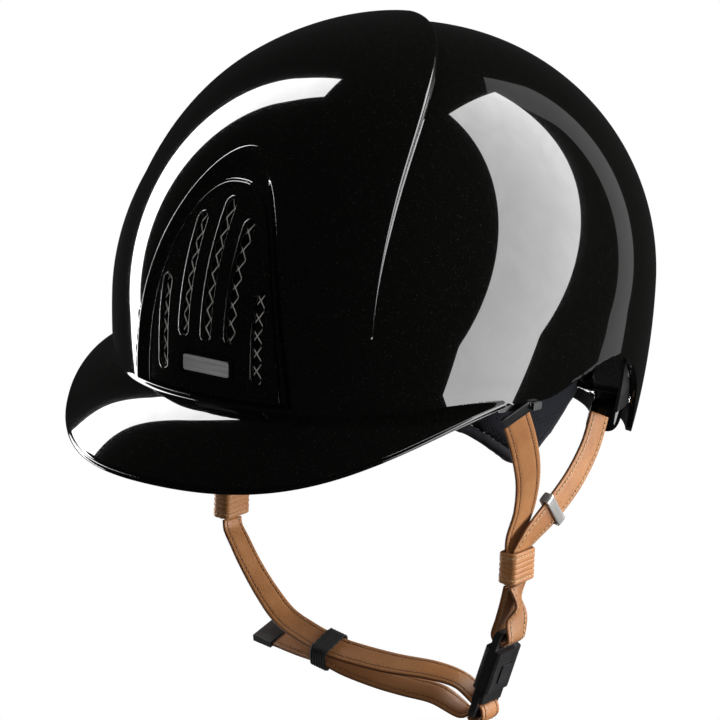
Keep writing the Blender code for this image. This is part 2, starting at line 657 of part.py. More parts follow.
def chin_route():
    """From below the right keeper, under the chin, round the tongue's bar and back to the free tip."""
    turn = LOOP_RADIUS
    round_bar = [buckle_point(turn * math.cos(a), LOWER_BAR_Z + turn * math.sin(a))
                 for a in (math.radians(k) for k in (-115, -60, 0, 50, 100, 140))]
    upper = [(-77.4, -13, SPLIT_Z - 1.2, 0, 1, 0), (-76.2, -13.4, -97, 0, 1, 0),
             (-71.5, -15, -102, 0, 1, 0.05),
             (-62.5, -18, -111, 0, 1, 0.1), (-51, -21, -121, 0, 1, 0.2), (-38.5, -24, -129.3, 0, 1, 0.3),
             (-24.8, -25.5, -134, 0, 1, 0.38), (-12, -26, -137, 0, 1, 0.4), (0, -25.6, -138.5, 0, 1, 0.4),
             (20, -23, -139.8, 0, 1, 0.38), (40, -19, -140, 0, 1, 0.3), (53, -15, -143, 0, 1, 0.1)]
    lower = [(54, -14, -157, 0, 1, 0.05), (43, -18, -151, 0, 1, 0.3), (30, -21, -149.4, 0, 1, 0.38),
             (16, -23.5, -147.8, 0, 1, 0.4), (0, -25.6, -145, 0, 1, 0.4), (-12, -26, -142, 0, 1, 0.4),
             (-26, -25.5, -141, 0, 1, 0.38), (-39, -25, -139.6, 0, 1, 0.35)]
    return upper + round_bar + lower


def make_chin_strap():
    route = chin_route()
    ribbon("chin_strap", route, LEATHER, pieces=96)
    tip = [(-39.4, -25, -139.5, 0, 1, 0.35), (-49.5, -24.5, -138.2, 0, 1, 0.35)]
    ribbon("strap_tip", tip, ("satin_black", BLACK_SATIN), STRAP_WIDTH + 1.0, 3.2, pieces=2)
    middle = Vector((-12, -26, -139.5))
    across = Vector((0, 1, 0.4))
    frame = frame_at(middle, across, across.cross(Vector((0.98, 0.02, -0.2))))
    tube_section("elastic_keeper", STRAP_WIDTH + 4.8, 12.4, 1.0, 9.0, frame, ("elastic", BLACK_FABRIC))


clear_scene()
HELMET = new_collection("riding_helmet", False)
CUTTERS = new_collection("cutters", True)
make_shell()
make_cowl()
make_outlet_mesh()
make_peak()
make_peak_clip(1, "peak_clip_left")
make_peak_clip(-1, "peak_clip_right")
slot_cutters = make_vent()
make_badge()
make_impact_liner(slot_cutters)
make_crown_pad()
make_pads()
make_nape_guard()
for side, name in ((1, "left"), (-1, "right")):
    make_harness_side(side, name)
make_buckle_loop()
make_buckle()
make_tongue()
make_chin_strap()
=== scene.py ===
import math

import bpy
from mathutils import Matrix, Vector


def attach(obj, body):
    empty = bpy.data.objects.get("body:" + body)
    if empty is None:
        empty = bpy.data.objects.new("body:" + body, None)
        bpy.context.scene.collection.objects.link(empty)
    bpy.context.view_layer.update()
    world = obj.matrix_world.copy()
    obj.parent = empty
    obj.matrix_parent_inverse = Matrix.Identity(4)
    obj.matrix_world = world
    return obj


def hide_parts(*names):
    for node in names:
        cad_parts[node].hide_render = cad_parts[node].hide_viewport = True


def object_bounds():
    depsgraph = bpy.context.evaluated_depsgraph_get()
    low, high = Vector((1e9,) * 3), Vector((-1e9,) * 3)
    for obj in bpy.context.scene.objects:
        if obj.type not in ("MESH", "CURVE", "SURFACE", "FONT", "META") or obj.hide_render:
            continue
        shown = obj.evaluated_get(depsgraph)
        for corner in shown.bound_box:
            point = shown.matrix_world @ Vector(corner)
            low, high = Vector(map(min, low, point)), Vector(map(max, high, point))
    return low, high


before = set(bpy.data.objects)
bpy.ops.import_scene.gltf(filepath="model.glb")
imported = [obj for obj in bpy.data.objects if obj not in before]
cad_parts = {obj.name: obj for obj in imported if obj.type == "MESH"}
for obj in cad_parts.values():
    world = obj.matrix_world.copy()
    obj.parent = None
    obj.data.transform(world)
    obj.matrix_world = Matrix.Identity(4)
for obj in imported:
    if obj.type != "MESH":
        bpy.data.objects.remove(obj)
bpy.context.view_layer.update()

MM = 0.001


def bearing_direction(bearing, height):
    """The unit direction at this bearing from the front, round to the wearer's left, and height."""
    return Vector((math.sin(bearing) * math.cos(height), -math.cos(bearing) * math.cos(height),
                   math.sin(height)))


# ---------------------------------------------------------------------------------------------
# Camera. A long lens two metres away, a little above the brow and to the wearer's left of the
# front, rolled slightly so that the helmet leans forward.
# ---------------------------------------------------------------------------------------------
CAMERA_BEARING, CAMERA_HEIGHT, CAMERA_ROLL = math.radians(33.6), math.radians(14.2), math.radians(2.3)
CAMERA_DISTANCE, CAMERA_LEFT, CAMERA_DOWN = 2.0, 0.0154, 0.0068
LENS, SENSOR = 222, 36
level = Vector((math.cos(CAMERA_BEARING), math.sin(CAMERA_BEARING), 0))
back = bearing_direction(CAMERA_BEARING, CAMERA_HEIGHT)
upright = back.cross(level)
right = level * math.cos(CAMERA_ROLL) + upright * math.sin(CAMERA_ROLL)
aside = level * CAMERA_LEFT + upright * CAMERA_DOWN
bpy.ops.object.camera_add(location=back * CAMERA_DISTANCE - aside)
camera = bpy.context.object
camera.name = "studio_camera"
camera.rotation_euler = Matrix((right, back.cross(right), back)).transposed().to_euler()
camera.data.lens, camera.data.sensor_width = LENS, SENSOR
camera.data.clip_start, camera.data.clip_end = 0.1, 60
bpy.context.scene.camera = camera
bpy.context.scene.view_settings.view_transform = "Standard"

# ---------------------------------------------------------------------------------------------
# Outer shell. An injection-moulded dome, 2.6 mm thick, sprayed with deep black gloss lacquer. Its
# rim runs level under the peak, arches over the ear and drops low at the nape.
# ---------------------------------------------------------------------------------------------
HALF_WIDTH, FRONT_LENGTH, REAR_LENGTH = 109.0, 148.5, 125.0
WIDEST_Z, CROWN_RISE, SKIRT_DROP = 32.0, 115.0, 196.0
PLAN_POWER = 2.15
SHELL_THICKNESS = 2.6
# The rim seen from the side, as (how far back, height).
RIM_PROFILE = [(-190, 2.5), (-60, 2.5), (-38, 2), (-20, 6.5), (5, 11.2), (22, 9), (36, 1.3), (45, -8.7),
               (49.5, -20), (57, -33), (70, -38), (150, -38)]
MIDDLE = Vector((0, 0, WIDEST_Z))


def mix(a, b, t):
    return a + (b - a) * t


def ease(t):
    t = max(0.0, min(1.0, t))
    return t * t * (3 - 2 * t)


def smooth_path(points, t):
    """The point at t (0 to 1) of a smooth curve through rows of numbers."""
    place = t * (len(points) - 1)
    i = min(int(place), len(points) - 2)
    f = place - i
    p0, p1, p2, p3 = (Vector(points[max(0, min(len(points) - 1, i + k))]) for k in (-1, 0, 1, 2))
    return 0.5 * (2 * p1 + (p2 - p0) * f + (2 * p0 - 5 * p1 + 4 * p2 - p3) * f**2
                  + (3 * p1 - p0 - 3 * p2 + p3) * f**3)


def dome_radius(d):
    """How far the shell's outer face lies from the helmet's middle in the unit direction d."""
    length = FRONT_LENGTH if d.y < 0 else REAR_LENGTH
    plan = (abs(d.x / HALF_WIDTH) ** PLAN_POWER + abs(d.y / length) ** PLAN_POWER) ** (1 / PLAN_POWER)
    return 1 / math.hypot(plan, abs(d.z) / (CROWN_RISE if d.z > 0 else SKIRT_DROP))


def dome_point(direction, offset):
    d = direction.normalized()
    return MIDDLE + d * (dome_radius(d) + offset)


def start_piece():
    if bpy.context.mode != "OBJECT":
        bpy.ops.object.mode_set(mode="OBJECT")
    bpy.ops.object.select_all(action="DESELECT")


def select_only(piece):
    start_piece()
    piece.select_set(True)
    bpy.context.view_layer.objects.active = piece


def new_object(name, mesh):
    piece = bpy.data.objects.new(name, mesh)
    bpy.context.scene.collection.objects.link(piece)
    return piece


def bent_sheet(name, columns, rows, shape):
    """A flat grid whose corners are moved by shape(u, v), in millimetres; u and v run from 0 to 1."""
    start_piece()
    bpy.ops.mesh.primitive_grid_add(x_subdivisions=columns, y_subdivisions=rows, size=1, calc_uvs=True)
    sheet = bpy.context.object
    sheet.name = sheet.data.name = name
    for corner in sheet.data.vertices:
        corner.co = Vector(shape(corner.co.x + 0.5, corner.co.y + 0.5)) * MM
    return sheet


def use_modifier(piece, kind, **settings):
    """Adds one modifier with these settings and applies it at once."""
    select_only(piece)
    modifier = piece.modifiers.new(kind.title(), kind)
    for key, value in settings.items():
        setattr(modifier, key, value)
    bpy.ops.object.modifier_apply(modifier=modifier.name)


def tidy_faces(piece, merge=0.0, smooth=True):
    """Merges doubled corners, turns every face outwards and shades the piece smooth."""
    select_only(piece)
    bpy.ops.object.mode_set(mode="EDIT")
    bpy.ops.mesh.select_all(action="SELECT")
    if merge:
        bpy.ops.mesh.remove_doubles(threshold=merge * MM)
    bpy.ops.mesh.normals_make_consistent(inside=False)
    bpy.ops.object.mode_set(mode="OBJECT")
    if smooth:
        bpy.ops.object.shade_smooth()


def close_ends(piece, merge):
    """Merges doubled corners, fills the open ends and turns every face outwards."""
    select_only(piece)
    bpy.ops.object.mode_set(mode="EDIT")
    bpy.ops.mesh.select_all(action="SELECT")
    bpy.ops.mesh.remove_doubles(threshold=merge * MM)
    bpy.ops.mesh.fill_holes(sides=0)
    tidy_faces(piece)


def rim_height(bearing):
    """How high the rim stands, as an angle from the helmet's middle, found by halving."""
    low, high = math.radians(-40), math.radians(10)
    spread = [row[0] for row in RIM_PROFILE]
    for _ in range(24):
        middle = (low + high) / 2
        point = dome_point(bearing_direction(bearing, middle), 0)
        before = max(i for i, y in enumerate(spread[:-1]) if y <= point.y)
        share = (point.y - spread[before]) / (spread[before + 1] - spread[before])
        edge = smooth_path(RIM_PROFILE, (before + share) / (len(spread) - 1)).y
        if point.z < edge:
            low = middle
        else:
            high = middle
    return high


RIM_HEIGHTS = [rim_height(math.radians(k)) for k in range(-180, 182)]


def round_dome(u, v):
    """Square grid to dome: the middle of the grid is the crown and its border is the rim."""
    x, y = 2 * u - 1, 2 * v - 1
    x, y = x * math.sqrt(1 - y * y / 2), y * math.sqrt(1 - x * x / 2)
    bearing = math.atan2(x, -y)
    place = math.degrees(bearing) + 180
    rim = mix(RIM_HEIGHTS[int(place)], RIM_HEIGHTS[int(place) + 1], place % 1)
    height = mix(math.pi / 2, rim, min(1.0, math.hypot(x, y)))
    return dome_point(bearing_direction(bearing, height), 0)


# Each arch is (half its width at the foot, height of its top, roundness). Corners of a cut edge
# closer than ARCH_SNAP to the outer arch move onto it.
ARCH_FOOT_Z, ARCH_POWER = 3.2, 1.6
ARCH_INNER, ARCH_OUTER = (34.0, 94.7, 0.40), (41.0, 107.5, 0.48)
ARCH_SNAP = 4.0


def arch_point(shape, t, foot=-2.0):
    """The point (x, z) on the vent arch's outline; t runs from -1, the right foot, to 1."""
    half, top, power = shape
    rise = math.sin(math.radians(90 * (1 - abs(t))))
    x = half * max(0.0, 1 - rise**ARCH_POWER) ** power
    z = mix(ARCH_FOOT_Z, top, rise)
    if abs(t) > 0.97:
        z = mix(z, foot, (abs(t) - 0.97) / 0.03)
    return math.copysign(x, t), z


ARCH_HOLE = [arch_point(ARCH_OUTER, k / 90 - 1, -20) for k in range(181)]


def inside_arch(x, z):
    half, top, power = ARCH_OUTER
    if z >= top:
        return False
    rise = max(0.0, (z - ARCH_FOOT_Z) / (top - ARCH_FOOT_Z))
    return abs(x) < half * (1 - rise**ARCH_POWER) ** power


COWL_HALF_ANGLE, COWL_END_ANGLE = 29.2, 91.0
COWL_TAPER, COWL_ROUNDNESS, COWL_HEIGHT = 3.2, 0.7, 6.0


def cowl_rise(angle):
    """The cowl's height over the shell: nothing at the brow, full height from the forehead up."""
    return COWL_HEIGHT * ease((angle - 1) / 62)


def skin_point(x, z, lift):
    """The point at (x, z) on the helmet's front, lifted from the outer skin, cowl included. Its
    depth is found by halving."""
    low, high = -170.0, -20.0
    for _ in range(22):
        y = (low + high) / 2
        d = Vector((x, y, z)) - MIDDLE
        reach = d.length
        d.normalize()
        rise = cowl_rise(math.degrees(math.atan2(d.z, -d.y)))
        if reach > dome_radius(d) + rise + lift:
            low = y
        else:
            high = y
    return Vector((x, high, z))


def open_arch(sheet):
    """Cuts the vent's arched opening through a sheet, with a clean edge."""
    select_only(sheet)
    bpy.ops.object.mode_set(mode="EDIT")
    bpy.ops.mesh.select_all(action="DESELECT")
    bpy.ops.mesh.select_mode(type="FACE")
    bpy.ops.object.mode_set(mode="OBJECT")
    for face in sheet.data.polygons:
        x, y, z = face.center / MM
        face.select = y < 0 and inside_arch(x, z)
    bpy.ops.object.mode_set(mode="EDIT")
    bpy.ops.mesh.delete(type="FACE")
    bpy.ops.object.mode_set(mode="OBJECT")
    uses = {}
    for face in sheet.data.polygons:
        for edge in face.edge_keys:
            uses[edge] = uses.get(edge, 0) + 1
    border = {corner for edge, count in uses.items() if count == 1 for corner in edge}
    for index in border:
        corner = sheet.data.vertices[index]
        x, y, z = corner.co / MM
        near = min(ARCH_HOLE, key=lambda point: (point[0] - x) ** 2 + (point[1] - z) ** 2)
        if y < 0 and z >= ARCH_SNAP and math.hypot(near[0] - x, near[1] - z) < ARCH_SNAP:
            outward = corner.co / MM - MIDDLE
            lift = outward.length - dome_radius(outward.normalized())
            rise = cowl_rise(math.degrees(math.atan2(z - WIDEST_Z, -y)))
            corner.co = skin_point(*near, lift - rise) * MM


def new_material(name, **settings):
    """A Principled material with these constants on the shader's own sockets."""
    material = bpy.data.materials.new(name)
    material.use_nodes = True
    shader = material.node_tree.nodes["Principled BSDF"]
    for socket, value in settings.items():
        shader.inputs[socket.replace("_", " ")].default_value = value
    return material, material.node_tree, shader


def add_node(tree, kind, inputs=(), **settings):
    """A node with its settings, and its inputs as numbers or as other nodes' outputs."""
    node = tree.nodes.new(kind)
    for key, value in settings.items():
        setattr(node, key, value)
    for key, value in dict(inputs).items():
        if isinstance(value, bpy.types.NodeSocket):
            tree.links.new(value, node.inputs[key])
        else:
            node.inputs[key].default_value = value
    return node


def object_space(tree):
    """Places in the piece's own space, in metres, which carry its textures."""
    return add_node(tree, "ShaderNodeTexCoord").outputs["Object"]


def noise(tree, where, scale, detail, **more):
    inputs = {"Vector": where, "Scale": scale, "Detail": detail, **more}
    return add_node(tree, "ShaderNodeTexNoise", inputs).outputs["Fac"]


def ranged(tree, value, low, high, first=0.0, last=1.0):
    """A value stretched so that low to high becomes first to last, and held at both ends."""
    inputs = {"Value": value, "From Min": low, "From Max": high, "To Min": first, "To Max": last}
    return add_node(tree, "ShaderNodeMapRange", inputs).outputs["Result"]


def mixed(tree, factor, a, b, blend="MIX"):
    """Two colours mixed by a mask; each may be a colour or another node's output."""
    return add_node(tree, "ShaderNodeMix", {0: factor, 6: a, 7: b}, data_type="RGBA",
                    blend_type=blend).outputs[2]


def texture(tree, node, strength, distance, height):
    """Bumps the node's Normal by a height mask; the distance is in metres."""
    inputs = {"Strength": strength, "Distance": distance, "Height": height}
    bump = add_node(tree, "ShaderNodeBump", inputs)
    tree.links.new(bump.outputs["Normal"], node.inputs["Normal"])


def new_group(name, inputs, outputs):
    """A shader group with named numbers going in and named numbers, or a Normal, coming out."""
    tree = bpy.data.node_groups.new(name, "ShaderNodeTree")
    for label, value in inputs.items():
        socket = tree.interface.new_socket(name=label, in_out="INPUT", socket_type="NodeSocketFloat")
        socket.default_value = value
    for label in outputs:
        kind = "NodeSocketVector" if label == "Normal" else "NodeSocketFloat"
        tree.interface.new_socket(name=label, in_out="OUTPUT", socket_type=kind)
    return tree, tree.nodes.new("NodeGroupInput"), tree.nodes.new("NodeGroupOutput")


def lacquer_group():
    """Sprayed lacquer: a faint orange-peel ripple, hairline polish marks and fine metal flake."""
    tree, given, out = new_group("lacquer_film", {"Ripple": 0.02, "Flake": 0.1},
                                 ("Flake", "Polish", "Normal"))
    where = object_space(tree)
    flake = add_node(tree, "ShaderNodeTexVoronoi", {"Vector": where, "Scale": 3400})
    spark = ranged(tree, flake.outputs["Color"], 0.86, 1.0, 0.0, given.outputs["Flake"])
    polish = ranged(tree, noise(tree, where, 30, 6, Distortion=2.5), 0.35, 0.75, 0.9, 1.0)
    tree.links.new(spark, out.inputs["Flake"])
    tree.links.new(polish, out.inputs["Polish"])
    texture(tree, out, given.outputs["Ripple"], 0.0002, noise(tree, where, 260, 1))
    return tree


LACQUER = lacquer_group()


def gloss_black(name, ripple, flake):
    """Deep black base coat with fine flake under a clear, wet-looking top coat."""
    material, tree, shader = new_material(
        name, Roughness=0.1, Specular_IOR_Level=0.02, Coat_Roughness=0.012, Coat_IOR=1.5)
    film = add_node(tree, "ShaderNodeGroup", {"Ripple": ripple, "Flake": flake}, node_tree=LACQUER)
    tint = mixed(tree, film.outputs["Flake"], (0.0022, 0.0022, 0.002, 1), (0.06, 0.055, 0.045, 1))
    tree.links.new(tint, shader.inputs["Base Color"])
    tree.links.new(film.outputs["Polish"], shader.inputs["Coat Weight"])
    tree.links.new(film.outputs["Normal"], shader.inputs["Normal"])
    return material


BLACK_LACQUER = gloss_black("black_lacquer", 0.015, 0.5)


def finish_piece(piece, material, node, body="root"):
    """Gives a piece its material, the body it rides on and the CAD node it stands for."""
    piece.data.materials.clear()
    piece.data.materials.append(material)
    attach(piece, body)
    if node:
        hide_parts(node)


shell = bent_sheet("shell_moulding", 180, 180, round_dome)
tidy_faces(shell, smooth=False)
open_arch(shell)
use_modifier(shell, "SOLIDIFY", thickness=SHELL_THICKNESS * MM, offset=-1)
use_modifier(shell, "BEVEL", width=0.9 * MM, segments=3, limit_method="ANGLE",
             angle_limit=math.radians(50), use_clamp_overlap=True)
tidy_faces(shell)
finish_piece(shell, BLACK_LACQUER, "outer_shell")

# ---------------------------------------------------------------------------------------------
# Front cowl. A lacquered tongue bonded over the shell: it grows out of the brow, stands 6 mm proud
# over the crown and ends there in a rolled lip over the air outlet.
# ---------------------------------------------------------------------------------------------
COWL_EDGE_RADIUS = 1.5
COWL_START_ANGLE = 1.2
COWL_REACH = 132.0
COWL_SPINE_END = 80.0
COWL_BEDDING = 0.012
MOUTH_END, MOUTH_BLEND, LIP_DEPTH = 0.24, 0.08, 2.2
Q_STEP = 0.004


def cowl_edge(angle):
    """Half the cowl's width, as an angle, at this angle above the brow."""
    return COWL_HALF_ANGLE * max(0.0, 1 - (angle / COWL_END_ANGLE) ** COWL_TAPER) ** COWL_ROUNDNESS


def cowl_direction(angle, out):
    up, out = math.radians(angle), math.radians(out)
    return Vector((math.sin(out), -math.cos(out) * math.cos(up), math.cos(out) * math.sin(up)))


def outline_place(q):
    """(angle up, angle out) on one half of the outline; q is 0 at the tip and 1 at the foot."""
    angle = COWL_END_ANGLE - (COWL_END_ANGLE - COWL_START_ANGLE) * q * q * (2 - q)
    return Vector((angle, cowl_edge(angle)))


def cowl_rings(q, height):
    """The edge's section, as (inset, height): a fillet, the wall and its rounded top. Near the tip
    the wall stops short of the shell and turns in, which leaves the mouth of the outlet."""
    mouth = ease((MOUTH_END - q) / MOUTH_BLEND)
    k = min(1.0, height / 2)
    r = min(COWL_EDGE_RADIUS, 0.45 * height)
    lip = height - LIP_DEPTH
    rings = [(mix(-1.0 * k, 8.0, mouth), mix(-0.35, lip, mouth)),
             (mix(-0.7 * k, 2.0, mouth), mix(-0.02, lip, mouth)),
             (mix(-0.3 * k, 0.7, mouth), mix(0.14 * k, lip, mouth)),
             (mix(-0.08 * k, 0.15, mouth), mix(0.4 * k, lip + 0.15, mouth)),
             (0, mix(0.8 * k, lip + 0.6, mouth)), (0.02 * k, height - r)]
    for step in range(1, 6):
        turn = math.radians(18 * step)
        rings.append((r - r * math.cos(turn), height - r + r * math.sin(turn)))
    return rings


COWL_EDGE_RINGS, COWL_TOP_RINGS = 11, 30


def cowl_shape(u, v):
    side, q = (1, 2 * u - 1) if u >= 0.5 else (-1, 1 - 2 * u)
    here = outline_place(q)
    ahead = outline_place(min(1, q + Q_STEP)) - outline_place(max(0, q - Q_STEP))
    inward = Vector((-ahead.y, ahead.x)).normalized() if q > Q_STEP else Vector((-1, 0))
    if inward.y > 0:
        inward = -inward
    rings = cowl_rings(q, cowl_rise(here.x))
    ring = v * (COWL_EDGE_RINGS + COWL_TOP_RINGS - 1)
    if round(ring) < COWL_EDGE_RINGS:
        inset, height = rings[round(ring)]
        angle, out = here + inward * math.degrees(inset / COWL_REACH)
    else:
        share = (ring - COWL_EDGE_RINGS + 1) / COWL_TOP_RINGS
        edge = here + inward * math.degrees(rings[-1][0] / COWL_REACH)
        along = (here.x - COWL_START_ANGLE) / (COWL_END_ANGLE - COWL_START_ANGLE)
        spine = mix(COWL_START_ANGLE, COWL_SPINE_END, along)
        angle, out = mix(edge, Vector((spine, 0)), share)
        height = cowl_rise(angle)
    height -= COWL_BEDDING * (1 - ease((angle - COWL_START_ANGLE) / 8))
    return dome_point(cowl_direction(angle, side * out), height)


cowl = bent_sheet("cowl_moulding", 260, COWL_EDGE_RINGS + COWL_TOP_RINGS - 1, cowl_shape)
tidy_faces(cowl, merge=0.01)
open_arch(cowl)
bpy.ops.object.shade_smooth()
finish_piece(cowl, BLACK_LACQUER, "front_cowl")

# ---------------------------------------------------------------------------------------------
# Vent insert. One lacquered moulding that fills the arch: a lip that laps the opening, a valley,
# and a raised face with five rounded slots and a pocket for the badge.
# ---------------------------------------------------------------------------------------------
FACE_LIFT, FACE_THICKNESS = -2.4, 2.4
SLOT_WIDTH = 4.6
SLOTS = [(-24, 13.3, 53.5), (-12, 30, 81), (0, 29.3, 88.6), (12, 30, 81), (24, 13.3, 53.5)]
# The border's section, as (share of the way from the inner arch to the outer, height).
BORDER_SECTION = [(1.17, -0.9), (1.15, -0.3), (1.12, 0.0), (1.07, 0.08), (1.0, 0.06), (0.94, -0.03),
                  (0.88, -0.2), (0.8, -0.6), (0.68, -1.3), (0.54, -2.1), (0.4, -2.8), (0.28, -3.2),
                  (0.18, -3.35), (0.1, -3.25), (0.07, -3.0), (0.045, -2.5), (0.025, -2.1),
                  (0.0, -1.9), (-0.025, -1.86), (-0.05, -1.92), (-0.08, -2.12), (-0.12, -2.32),
                  (-0.2, -2.42)]
SLOT_CUT_GAP = 0.35
BADGE_WIDTH, BADGE_HEIGHT, BADGE_Z = 28.0, 11.3, 18.4


def border_shape(u, v):
    across, lift = BORDER_SECTION[round(v * (len(BORDER_SECTION) - 1))]
    t = 2 * u - 1
    inner, outer = Vector(arch_point(ARCH_INNER, t)), Vector(arch_point(ARCH_OUTER, t))
    return skin_point(*mix(inner, outer, across), lift)


def face_shape(u, v):
    rise = math.sin(math.radians(mix(0, 88, v)))
    half, top, power = ARCH_INNER
    z = mix(-2.0, top - 0.5, rise)
    lower = max(0.0, (z - ARCH_FOOT_Z) / (top - ARCH_FOOT_Z))
    return skin_point((2 * u - 1) * (half - 0.5) * (1 - lower**ARCH_POWER) ** power, z, FACE_LIFT)


def slot_border(low, high, x, out, t):
    """The point at t (0 to 1) round a slot's outline, moved outward by out."""
    reach = (high - low - SLOT_WIDTH) / 2
    r = SLOT_WIDTH / 2 + out
    straight, bend = 2 * reach, math.pi * (SLOT_WIDTH / 2)
    place = t * 2 * (straight + bend)
    middle = (low + high) / 2
    if place < straight:
        return x + r, middle - reach + place
    place -= straight
    if place < bend:
        a = place / bend * math.pi
        return x + r * math.cos(a), middle + reach + r * math.sin(a)
    place -= bend
    if place < straight:
        return x - r, middle + reach - place
    a = math.pi + (place - straight) / bend * math.pi
    return x + r * math.cos(a), middle - reach + r * math.sin(a)


# A slot's rounded edge, from the face down its wall, as (distance out, height over the face).
SLOT_SECTION = [(1.15, -0.12), (0.95, 0.02), (0.75, 0.16), (0.55, 0.22), (0.35, 0.18), (0.17, 0.04),
                (0.05, -0.2), (0.0, -0.7), (0.0, -2.6)]


def slot_edge(number, x, low, high):
    def shape(u, v):
        out, lift = SLOT_SECTION[round(v * (len(SLOT_SECTION) - 1))]
        return skin_point(*slot_border(low, high, x, out, u), FACE_LIFT + lift)

    edge = bent_sheet(f"slot_edge_{number}", 96, len(SLOT_SECTION) - 1, shape)
    tidy_faces(edge, merge=0.01)
    return edge


def prism_through(outline, name):
    """A block of this outline (x, z) that runs back through the front wall, for cutting."""
    mesh = bpy.data.meshes.new(name)
    count = len(outline)
    corners = [(x * MM, y * MM, z * MM) for y in (-180, -60) for x, z in outline]
    faces = [tuple(range(count)), tuple(range(2 * count - 1, count - 1, -1))]
    faces += [(k, (k + 1) % count, count + (k + 1) % count, count + k) for k in range(count)]
    mesh.from_pydata(corners, [], faces)
    block = new_object(name, mesh)
    tidy_faces(block, smooth=False)
    return block


def cut_with(piece, block):
    use_modifier(piece, "BOOLEAN", operation="DIFFERENCE", object=block, solver="EXACT")
    bpy.data.objects.remove(block)


def join_pieces(first, others):
    select_only(first)
    for piece in others:
        piece.select_set(True)
    bpy.ops.object.join()


face = bent_sheet("vent_moulding", 70, 90, face_shape)
tidy_faces(face, merge=0.01)
use_modifier(face, "SOLIDIFY", thickness=FACE_THICKNESS * MM, offset=-1)
for x, low, high in SLOTS:
    slot_outline = [slot_border(low, high, x, SLOT_CUT_GAP, k / 40) for k in range(40)]
    cut_with(face, prism_through(slot_outline, "slot_cutter"))


def rounded_plate(width, height, radius):
    """A rectangle's outline with rounded corners, as points round the origin."""
    outline = []
    for quarter, (sx, sz) in enumerate(((1, 1), (-1, 1), (-1, -1), (1, -1))):
        for k in range(7):
            a = math.radians(90 * (quarter + k / 6))
            outline.append((sx * (width / 2 - radius) + radius * math.cos(a),
                            sz * (height / 2 - radius) + radius * math.sin(a)))
    return outline


pocket_outline = rounded_plate(BADGE_WIDTH - 0.6, BADGE_HEIGHT - 0.6, 2.2)
cut_with(face, prism_through([(x, z + BADGE_Z) for x, z in pocket_outline], "badge_cutter"))
border = bent_sheet("vent_border", 200, len(BORDER_SECTION) - 1, border_shape)
tidy_faces(border, merge=0.01)
edges = [slot_edge(number, *slot) for number, slot in enumerate(SLOTS, 1)]
join_pieces(face, [border, *edges])
bpy.ops.object.shade_smooth_by_angle(angle=math.radians(40))
finish_piece(face, gloss_black("vent_lacquer", 0.02, 0.9), "vent_insert")

# ---------------------------------------------------------------------------------------------
# Peak. A lacquered visor, 3 mm thick, that hooks under the rim. Its free edge is rounded over and
# its root stands up in a low lip against the shell.
# ---------------------------------------------------------------------------------------------
PEAK_HALF_WIDTH, PEAK_ROOT_Y, PEAK_REACH, PEAK_POWER = 100.9, -57.0, 127.5, 2.06
PEAK_SIDE_Z, PEAK_DROOP, PEAK_DROOP_POWER, PEAK_JOIN_Z = 4.8, 28.2, 3.7, 5.2
PEAK_ROOT_THICKNESS, PEAK_EDGE_THICKNESS = 3.0, 2.2
PEAK_END_TURN = 86
LIP_HEIGHT, LIP_PLACE, LIP_WIDTH = 0.7, 0.05, 0.022
ROOT_SPREAD, ROOT_OFFSET, PEAK_CROWN = 0.66, -2.0, 3.0


def wall_point(bearing, z, offset):
    """The point at height z on the wall, at this bearing from the front (degrees, + to the left)."""
    a = math.radians(bearing)
    length = (FRONT_LENGTH if math.cos(a) > 0 else REAR_LENGTH) + offset
    rise = (CROWN_RISE if z > WIDEST_Z else SKIRT_DROP) + offset
    plan = (abs(math.sin(a) / (HALF_WIDTH + offset)) ** PLAN_POWER
            + abs(math.cos(a) / length) ** PLAN_POWER) ** (-1 / PLAN_POWER)
    plan *= math.sqrt(1 - ((z - WIDEST_Z) / rise) ** 2)
    return Vector((math.sin(a) * plan, -math.cos(a) * plan, z))


def peak_edge(turn):
    c, s = math.cos(math.radians(turn)), math.sin(math.radians(turn))
    reach = (abs(c) ** PEAK_POWER + abs(s) ** PEAK_POWER) ** (-1 / PEAK_POWER)
    x = PEAK_HALF_WIDTH * s * reach
    droop = PEAK_DROOP * (1 - abs(x / PEAK_HALF_WIDTH) ** PEAK_DROOP_POWER)
    return Vector((x, PEAK_ROOT_Y - PEAK_REACH * c * reach, PEAK_SIDE_Z - droop))


def peak_face(turn, v, lower):
    """A point on the peak's upper face, or on its lower face where lower is 1."""
    lip = (1 - lower) * LIP_HEIGHT * math.exp(-((v - LIP_PLACE) / LIP_WIDTH) ** 2)
    root = wall_point(turn * ROOT_SPREAD, PEAK_JOIN_Z, ROOT_OFFSET)
    bulge = PEAK_CROWN * math.sin(math.pi * v) * math.cos(math.radians(turn))
    drop = mix(PEAK_ROOT_THICKNESS, PEAK_EDGE_THICKNESS, v) * lower
    return root.lerp(peak_edge(turn), v) + Vector((0, 0, bulge + lip - drop))


# Round the section: (share of the way out, how far down the rounded edge, 0 on top to 1 below).
PEAK_SECTION = ([(k / 100, 0) for k in range(0, 17)] + [(k / 24, 0) for k in range(5, 24)] + [(0.985, 0)]
                + [(1, k / 8) for k in range(9)] + [(0.985, 1)] + [(1 - k / 12, 1) for k in range(1, 12)]
                + [(0.02, 1), (0, 1)])


def peak_shape(u, v):
    turn = mix(-PEAK_END_TURN, PEAK_END_TURN, u)
    out, down = PEAK_SECTION[round(v * (len(PEAK_SECTION) - 1))]
    if out < 1:
        return peak_face(turn, out, down)
    radius = PEAK_EDGE_THICKNESS / 2
    ahead = peak_edge(turn + 0.5) - peak_edge(turn - 0.5)
    outward = Vector((ahead.y, -ahead.x, 0)).normalized()
    middle = peak_edge(turn) - Vector((0, 0, radius)) - outward * radius
    a = math.radians(90 - 180 * down)
    return middle + outward * radius * math.cos(a) + Vector((0, 0, radius * math.sin(a)))


